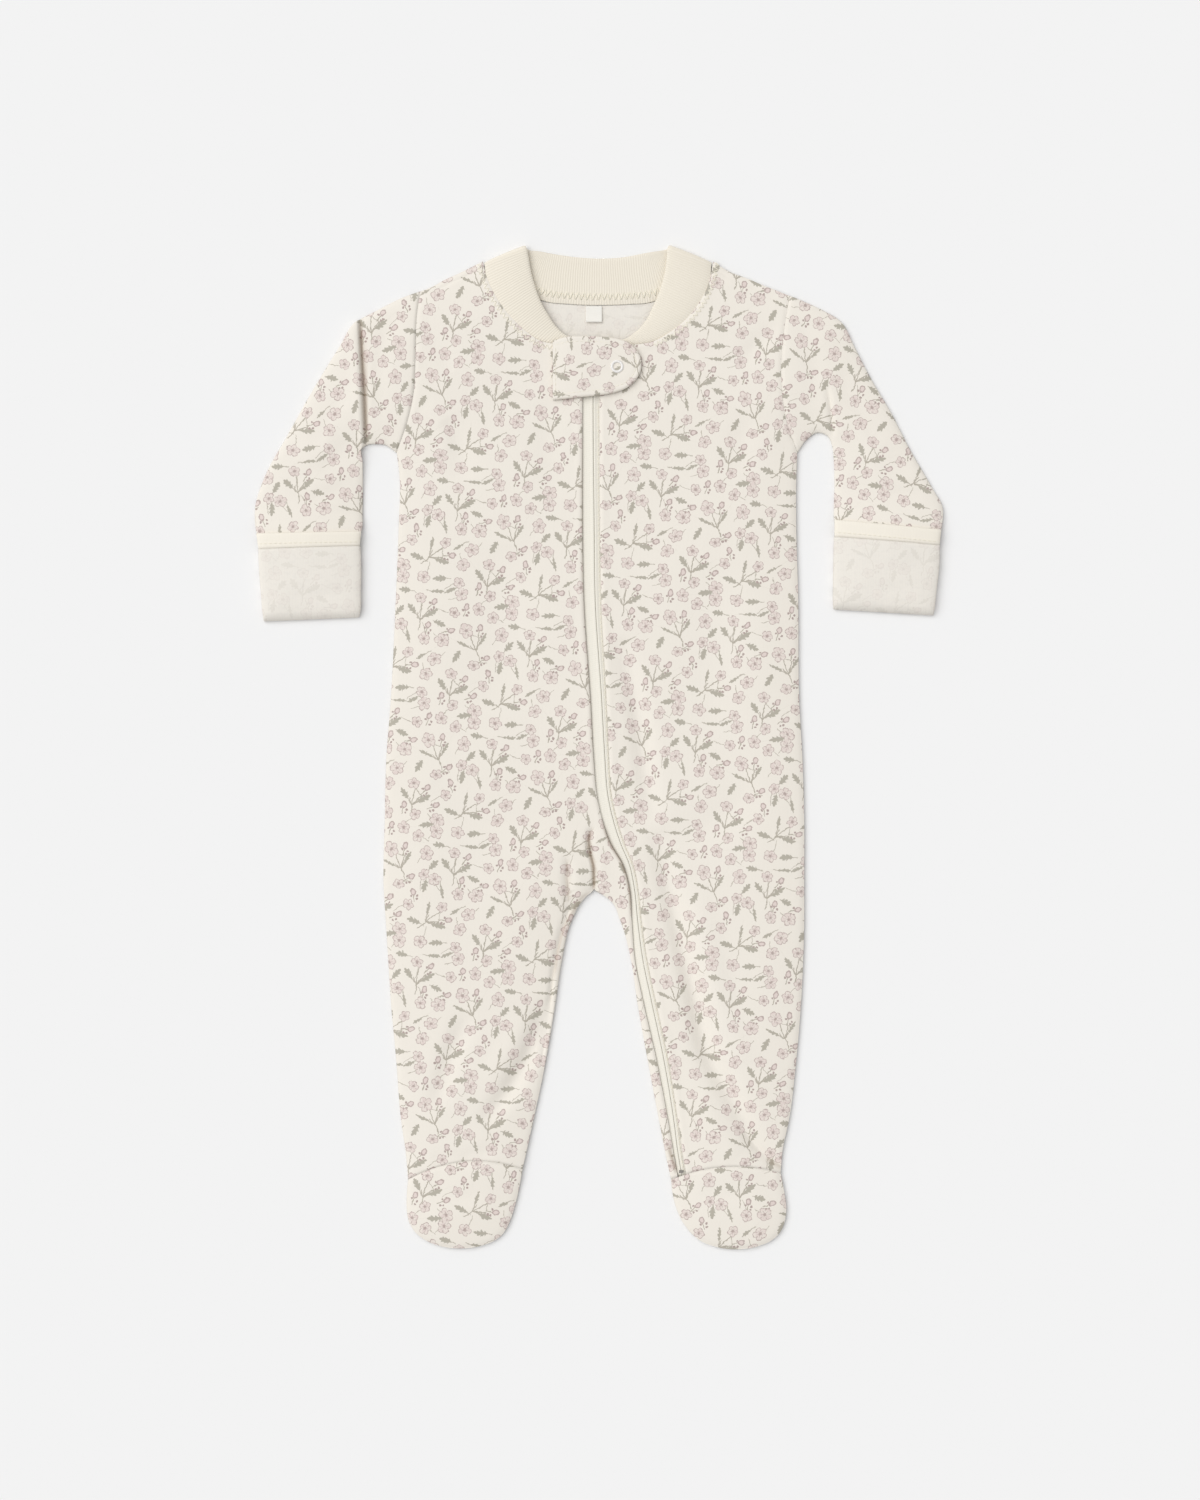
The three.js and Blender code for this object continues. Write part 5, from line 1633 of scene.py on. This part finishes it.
def neckband_mesh(name):
    """The neckband as one closed strip, arched across, thin at its seam and round at its free edge."""
    half = cloth_mm("band") / 2
    t = (1 - np.cos(np.linspace(0, np.pi, 15))) / 2
    rings, uv = [], []
    length_so_far, before = 0, None
    for p, q, facing in band_sections():
        wide = np.linalg.norm(q - p)
        arch = 1.0 * max(facing[2], 0) * min(wide / 20, 1) * 4 * t * (1 - t)
        thick = half * np.minimum(rounded((1 - t) * wide / (2 * half), 0.5),
                                  0.55 + 0.45 * rounded(t * wide / 4))
        middle = p + (q - p) * t[:, None] + facing * arch[:, None]
        rings.append(np.vstack([middle + facing * thick[:, None], (middle - facing * thick[:, None])[::-1]]))
        here = (p + q) / 2
        length_so_far += 0 if before is None else np.linalg.norm(here - before)
        before = here
        v = np.concatenate([t, t[::-1]]) * wide
        uv.append(np.stack([np.full(len(v), length_so_far), v], 1))
    rings = np.array(rings)
    count, size = rings.shape[:2]
    at = np.arange(count * size).reshape(count, size)
    faces = between_rings(at)[0].reshape(-1, 4).tolist()
    for end, way in ((at[0], -1), (at[-1], 1)):
        for k in range(size // 2 - 1):
            faces.append([int(v) for v in (end[k], end[k + 1], end[size - 2 - k], end[size - 1 - k])][::way])
    return make_object(name, rings.reshape(-1, 3), faces, [MATERIALS["rib"]], uv=np.vstack(uv))


def upright_faces(made):
    """Turns a closed piece's faces outwards."""
    bpy.context.view_layer.objects.active = made
    made.select_set(True)
    bpy.ops.object.mode_set(mode="EDIT")
    bpy.ops.mesh.select_all(action="SELECT")
    bpy.ops.mesh.normals_make_consistent(inside=False)
    bpy.ops.object.mode_set(mode="OBJECT")
    made.select_set(False)
    return made


# The chin tab: its gap over the cloth where it is sewn on, how far it rises from there and over what
# length; the thickness and reach of its edge; its stitched valley; and the dent that the snap presses
TAB = {"gap": 0.3, "rise": 1.2, "ramp": 14, "edge": 0.7, "edge_reach": 1.6}
TAB_VALLEY = {"deep": 0.28, "in": 3.2, "wide": 0.8}
TAB_DENT = {"deep": 0.5, "wide": 6}


def tab_outline():
    """The chin tab's lower and upper edges in plan, from where it is sewn on to its round end."""
    low, high = [np.stack([CHIN_TAB["x"], CHIN_TAB[side]], 1) for side in ("low", "high")]
    counts = np.ceil(np.maximum(np.diff(chord(low)), np.diff(chord(high)))).astype(int)
    return divided(low, counts), divided(high, counts)


def tab_under(x, y):
    """Underside of the chin tab, which rises over the zip's slider and the snap."""
    ramp = np.clip((x - CHIN_TAB["x"][0]) / TAB["ramp"], 0, 1)
    return upper(x, y) + TAB["gap"] + TAB["rise"] * rounded(ramp)


def tab_over(x, y):
    """Top of the chin tab, with round edges and a shallow valley along its topstitching."""
    low, high = tab_outline()
    edge, _ = near(np.vstack([low, high[::-1]]), x, y)
    thick = TAB["edge"] + (cloth_mm("tab") - TAB["edge"]) * rounded(edge / TAB["edge_reach"], 0.6)
    valley = TAB_VALLEY["deep"] * bell((edge - TAB_VALLEY["in"]) / TAB_VALLEY["wide"])
    press = TAB_DENT["deep"] * bell(np.hypot(x - SNAP["x"], y - SNAP["y"]) / TAB_DENT["wide"])
    return tab_under(x, y) + thick - valley - press + 0.12 * uneven(x, y, 7)


class SleepsuitOperator:
    """What the sleepsuit's operators share."""

    bl_options = {"REGISTER", "UNDO"}

    def execute(self, context):
        self.build(context)
        return {"FINISHED"}


# Half the side of the floor in metres, the turn of the key light in degrees, and the camera's sensor in mm
FLOOR_HALF = 15
KEY_TURN = (-15, -28, 0)
SENSOR = 36


class SLEEPSUIT_OT_stage(SleepsuitOperator, bpy.types.Operator):
    """Adds the floor, the soft light and the camera straight above"""

    bl_idname = "sleepsuit.stage"
    bl_label = "Stage"

    def build(self, context):
        make_materials()
        studio = settings().studio
        points = [(FLOOR_HALF * i, FLOOR_HALF * j, 0) for i, j in ((-1, -1), (1, -1), (1, 1), (-1, 1))]
        mesh = bpy.data.meshes.new("studio_floor")
        mesh.from_pydata(points, [], [(0, 1, 2, 3)])
        floor = bpy.data.objects.new("studio_floor", mesh)
        context.scene.collection.objects.link(floor)
        floor.data.materials.append(MATERIALS["floor"])

        world = bpy.data.worlds.new("studio_fill")
        context.scene.world = world
        world.use_nodes = True
        background = world.node_tree.nodes["Background"]
        background.inputs["Color"].default_value = (1, 1, 1, 1)
        background.inputs["Strength"].default_value = studio.fill
        light = bpy.data.lights.new("key_light", "SUN")
        light.energy = studio.key
        light.angle = studio.key_softness
        key = bpy.data.objects.new("key_light", light)
        key.rotation_euler = [math.radians(angle) for angle in KEY_TURN]
        context.scene.collection.objects.link(key)

        data = bpy.data.cameras.new("camera")
        data.lens = studio.lens
        data.sensor_width = SENSOR
        camera = bpy.data.objects.new("camera", data)
        camera.location = (studio.centre_x, studio.centre_y, studio.frame_height * studio.lens / SENSOR)
        context.scene.collection.objects.link(camera)
        context.scene.camera = camera
        context.scene.view_settings.view_transform = "Standard"


class SLEEPSUIT_OT_back(SleepsuitOperator, bpy.types.Operator):
    """Adds the back panel with both legs"""

    bl_idname = "sleepsuit.back"
    bl_label = "Back"

    def build(self, context):
        back = shell("back_panel", back_patches(), back_under, back_over, back_materials(), shift=(14, 9))
        finish_piece(back, "printed_knit", "back")


class SLEEPSUIT_OT_fronts(SleepsuitOperator, bpy.types.Operator):
    """Adds the two front panels"""

    bl_idname = "sleepsuit.fronts"
    bl_label = "Fronts"

    def build(self, context):
        left = shell("left_front", front_left_patches(), front_under, front_over, front_materials())
        finish_piece(left, "printed_knit", "front_left")
        right = shell("right_front", front_right_patches(), front_under, front_over, front_materials(),
                      shift=(31, 12))
        finish_piece(right, "printed_knit", "front_right")


class SLEEPSUIT_OT_sleeves(SleepsuitOperator, bpy.types.Operator):
    """Adds the sleeves, each one piece folded round"""

    bl_idname = "sleepsuit.sleeves"
    bl_label = "Sleeves"

    def build(self, context):
        materials = [MATERIALS["printed"], MATERIALS["printed"], MATERIALS["wrong_side"]]
        for name in ("left", "right"):
            plan, rise, lift = sleeve_plan(name)
            ends = np.ones(plan.shape[:2], bool)
            ends[1:-1, 1:-1] = False
            plan = gathered(plan.reshape(-1, 2), ends.ravel()).reshape(plan.shape)
            up = lift * cloth_mm("mitt_lift")
            bottom, top = on_plan(back_under, plan) + up, on_plan(sleeve_over, plan) + up + rise
            sleeve = tube(f"{name}_sleeve", plan, bottom, top, materials, 1, False, SLEEVE_GRAIN[name],
                          (17, 43))
            finish_piece(upright_faces(sleeve), "printed_knit", f"sleeve_{name}")


# Share of the binding's width, from its top, at which it is stitched
STITCH_ROW = 0.74


class SLEEPSUIT_OT_mitts(SleepsuitOperator, bpy.types.Operator):
    """Adds the fold-over mitts, wrong side out, with their binding"""

    bl_idname = "sleepsuit.mitts"
    bl_label = "Mitts"

    def build(self, context):
        materials = [MATERIALS["wrong_side"], MATERIALS["printed"], MATERIALS["printed"]]
        for name in ("left", "right"):
            a, b = ends_of(MITTS[name], "in", "out")
            s = chord((a + b) / 2)
            at = even_steps(0, s[-1], cloth_mm("grid") * 0.8)
            dense = smooth(s, np.column_stack([a, b]), at)
            sink = smooth(s, MITTS[name]["sink"], at)
            plan = patch(dense[:, :2], dense[:, 2:], across(60))
            bottom = on_plan(back_under, plan)
            top = np.maximum(on_plan(mitt_over, plan) - sink, bottom + 2 * cloth_mm("wall"))
            mitt = tube(f"{name}_mitt", plan, bottom, top, materials, 1, True, 0, (5, 8))
            finish_piece(upright_faces(mitt), "wrong_side_knit", f"mitten_{name}")
            self.bind(name)

    def bind(self, name):
        """The binding over the mitt's free edge, with its row of stitches."""
        top = BINDING_TOPS[name]
        edge = np.stack([points[0] for points in ends_of(MITTS[name], "in", "out")])
        f = np.linspace(0, 1, 9)[:, None]
        plan = patch(top[:1] * (1 - f) + edge[:1] * f, top[1:] * (1 - f) + edge[1:] * f, across(62))
        border = np.vstack([top, edge[::-1], top[:1]])

        def over(x, y):
            distance, _ = near(border, x, y)
            return mitt_over(x, y) + 0.1 + 0.5 * rounded(distance / 1.6, 0.6)

        def under(x, y):
            return mitt_over(x, y) - 0.9

        binding = shell(f"{name}_binding", [plan], under, over, [MATERIALS["binding"]] * 2)
        finish_piece(binding, "cream_binding", f"binding_{name}")
        across_mitt = np.linspace(0.02, 0.98, 30)[:, None]
        row = top[0] + (top[1] - top[0]) * across_mitt + (edge[0] - top[0]) * STITCH_ROW
        stitches(f"{name}_binding_stitches", [straight_run(row, 2.2, 0.8)], over, "cream_binding")


class SLEEPSUIT_OT_feet(SleepsuitOperator, bpy.types.Operator):
    """Adds the upper and the sole of each foot"""

    bl_idname = "sleepsuit.feet"
    bl_label = "Feet"

    def build(self, context):
        for name, turn in (("left", 7), ("right", -9)):
            plan = [foot_patch(name)]
            upper_piece = shell(f"{name}_foot", plan, front_under, front_over, front_materials(), turn,
                                (23, 5))
            finish_piece(upper_piece, "printed_knit", f"foot_upper_{name}")
            sole = shell(f"{name}_sole", plan, back_under, back_over, back_materials(), turn, (41, 33))
            finish_piece(sole, "printed_knit", f"sole_{name}")


class SLEEPSUIT_OT_neckband(SleepsuitOperator, bpy.types.Operator):
    """Adds the rib neckband and the zigzag stitches beside its seam"""

    bl_idname = "sleepsuit.neckband"
    bl_label = "Neckband"

    def build(self, context):
        band = upright_faces(neckband_mesh("rib_neckband"))
        finish_piece(band, "cream_rib", "neckband")
        front = [beside(flowing(NECK_FRONT["left"][1:], 1.5), 2.6),
                 beside(flowing(NECK_FRONT["right"][2:], 1.5), -2.6)]
        stitches("neck_stitches", [zigzag_run(line, 2.8, 1.5) for line in front], front_over, "printed_knit",
                 radius=0.27)
        back = flowing(np.vstack([NECK_BACK["left"][4:0:-1], NECK_BACK["right"][:5]]), 1.5)
        stitches("band_stitches", [zigzag_run(beside(back, 5.4), 4.4, 1.7)], self.back_level, "cream_rib",
                 radius=0.42)

    @staticmethod
    def back_level(x, y):
        """Top of the neckband a little above its seam on the back."""
        return back_under(x, y) + cloth_mm("band") - 0.02


class SLEEPSUIT_OT_zip(SleepsuitOperator, bpy.types.Operator):
    """Adds the zip's tapes and their stitching, and finishes its metal parts"""

    bl_idname = "sleepsuit.zip"
    bl_label = "Zip"

    def build(self, context):
        y = even_steps(ZIP["y"][0] - 0.3, ZIP["y"][-1] - 4.5, 1.4)
        coil = at_heights(ZIP, "coil", y)
        for name, away in (("left", -1), ("right", 1)):
            edge = at_heights(ZIP, name, y)
            lap = np.where((y < CROTCH[1]) & (name == "left"),
                           np.minimum(1.5, 0.4 * (edge[:, 0] - column(INSEAMS, "right", np.minimum(y, -90)))),
                           1.5)
            edge[:, 0] += away * np.maximum(lap, 0.4)
            plan = patch(edge, coil + [away * 0.08, 0], across(8, (0.4, 0.9, 1.5, 2.1)))
            tape = shell(f"zip_tape_{name}_woven", [plan], tape_under, tape_over, [MATERIALS["tape"]] * 2)
            finish_piece(tape, "zip_tape", f"zip_tape_{name}")
        for node in ("zip_slider", "zip_pull", "zip_bottom_stop"):
            paint(node, "metal")
        line = beside(ZIP_EDGES["right"], -0.8)
        runs = [straight_run(line[line[:, 1] < 206], 2.2, 0.6)]
        stitches("zip_stitches", runs, tape_over, "zip_tape", radius=0.24)


class SLEEPSUIT_OT_tab(SleepsuitOperator, bpy.types.Operator):
    """Adds the chin tab with its topstitching and its ring snap"""

    bl_idname = "sleepsuit.tab"
    bl_label = "Chin tab and snap"

    def build(self, context):
        low, high = tab_outline()
        plan = patch(low, high, across(34))
        tab = shell("chin_tab_printed", [plan], tab_under, tab_over, [MATERIALS["printed"]] * 2, 8, (3, 26))
        finish_piece(tab, "printed_knit", "chin_tab")
        border = np.vstack([low, high[::-1]])
        stitch_line = beside(border, TAB_VALLEY["in"])
        sewn_on = np.stack([np.full(20, CHIN_TAB["x"][0] + 1.6), np.linspace(210, 241.5, 20)], 1)
        runs = [straight_run(stitch_line, 2.2, 0.7), straight_run(sewn_on, 2.2, 0.7)]
        stitches("tab_stitches", runs, tab_over, "printed_knit", radius=0.2)
        self.snap(tab_over(np.array([SNAP["x"]]), np.array([SNAP["y"]]))[0])
        paint("snap_stud", "pearl")

    def snap(self, level):
        """The ring of the snap, turned from its profile."""
        profile = [(2.3, -0.3), (2.25, 0.35), (2.5, 0.75), (2.9, 0.95), (3.35, 0.95), (3.75, 0.7),
                   (3.95, 0.3), (3.9, -0.3)]
        sides = 64
        turns = np.arange(sides) * 2 * np.pi / sides
        points = [(SNAP["x"] + r * math.cos(t), SNAP["y"] + r * math.sin(t), level + z)
                  for t in turns for r, z in profile]
        size = len(profile)
        faces = []
        for s in range(sides):
            for k in range(size):
                a, b = s * size + k, s * size + (k + 1) % size
                c, d = ((s + 1) % sides) * size + (k + 1) % size, ((s + 1) % sides) * size + k
                faces.append([a, b, c, d])
        ring = upright_faces(make_object("ring_snap", points, faces, [MATERIALS["pearl"]]))
        finish_piece(ring, "pearl_plastic", "snap_ring")


class SLEEPSUIT_OT_label(SleepsuitOperator, bpy.types.Operator):
    """Adds the small bare label in the back neck seam"""

    bl_idname = "sleepsuit.label"
    bl_label = "Label"

    def build(self, context):
        x, y = LABEL["x"], LABEL["y"]
        wide, long = LABEL["wide"] / 2, LABEL["long"] / 2
        rows = np.linspace(y + long, y - long, 12)
        a, b = [np.stack([np.full(12, x + way * wide), rows], 1) for way in (-1, 1)]

        def lies(x, y):
            return back_over(x, y) + 0.3 + 0.5 * bell((y - LABEL["y"] + long) / 3)

        label = shell("woven_label_bare", [patch(a, b, across(9.6, (0.4, 1)))], lies,
                      lambda x, y: lies(x, y) + 0.5, [MATERIALS["label"]] * 2)
        finish_piece(label, "woven_label", "size_label")


class SLEEPSUIT_PT_panel(bpy.types.Panel):
    """Lists the sleepsuit's operators and settings"""

    bl_idname = "SLEEPSUIT_PT_panel"
    bl_label = "Sleepsuit"
    bl_space_type = "VIEW_3D"
    bl_region_type = "UI"
    bl_category = "Sleepsuit"

    def draw(self, context):
        for operator in OPERATORS:
            self.layout.operator(operator.bl_idname)
        for group in ("cloth", "pattern", "colours", "studio"):
            box = self.layout.box()
            values = getattr(context.scene.sleepsuit, group)
            for name in values.__annotations__:
                box.prop(values, name)


OPERATORS = (
    SLEEPSUIT_OT_stage, SLEEPSUIT_OT_back, SLEEPSUIT_OT_fronts, SLEEPSUIT_OT_sleeves, SLEEPSUIT_OT_mitts,
    SLEEPSUIT_OT_feet, SLEEPSUIT_OT_neckband, SLEEPSUIT_OT_zip, SLEEPSUIT_OT_tab, SLEEPSUIT_OT_label,
)
CLASSES = (ClothSettings, PrintSettings, ColourSettings, StudioSettings, SleepsuitSettings, *OPERATORS,
           SLEEPSUIT_PT_panel)


def register():
    """Registers the classes and the settings."""
    for cls in CLASSES:
        bpy.utils.register_class(cls)
    bpy.types.Scene.sleepsuit = PointerProperty(type=SleepsuitSettings)


def unregister():
    """Takes them away again."""
    del bpy.types.Scene.sleepsuit
    for cls in reversed(CLASSES):
        bpy.utils.unregister_class(cls)


def main():
    """Registers the add-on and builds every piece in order."""
    register()
    for operator in OPERATORS:
        group, name = operator.bl_idname.split(".")
        getattr(getattr(bpy.ops, group), name)()
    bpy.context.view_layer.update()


if __name__ == "__main__":
    main()
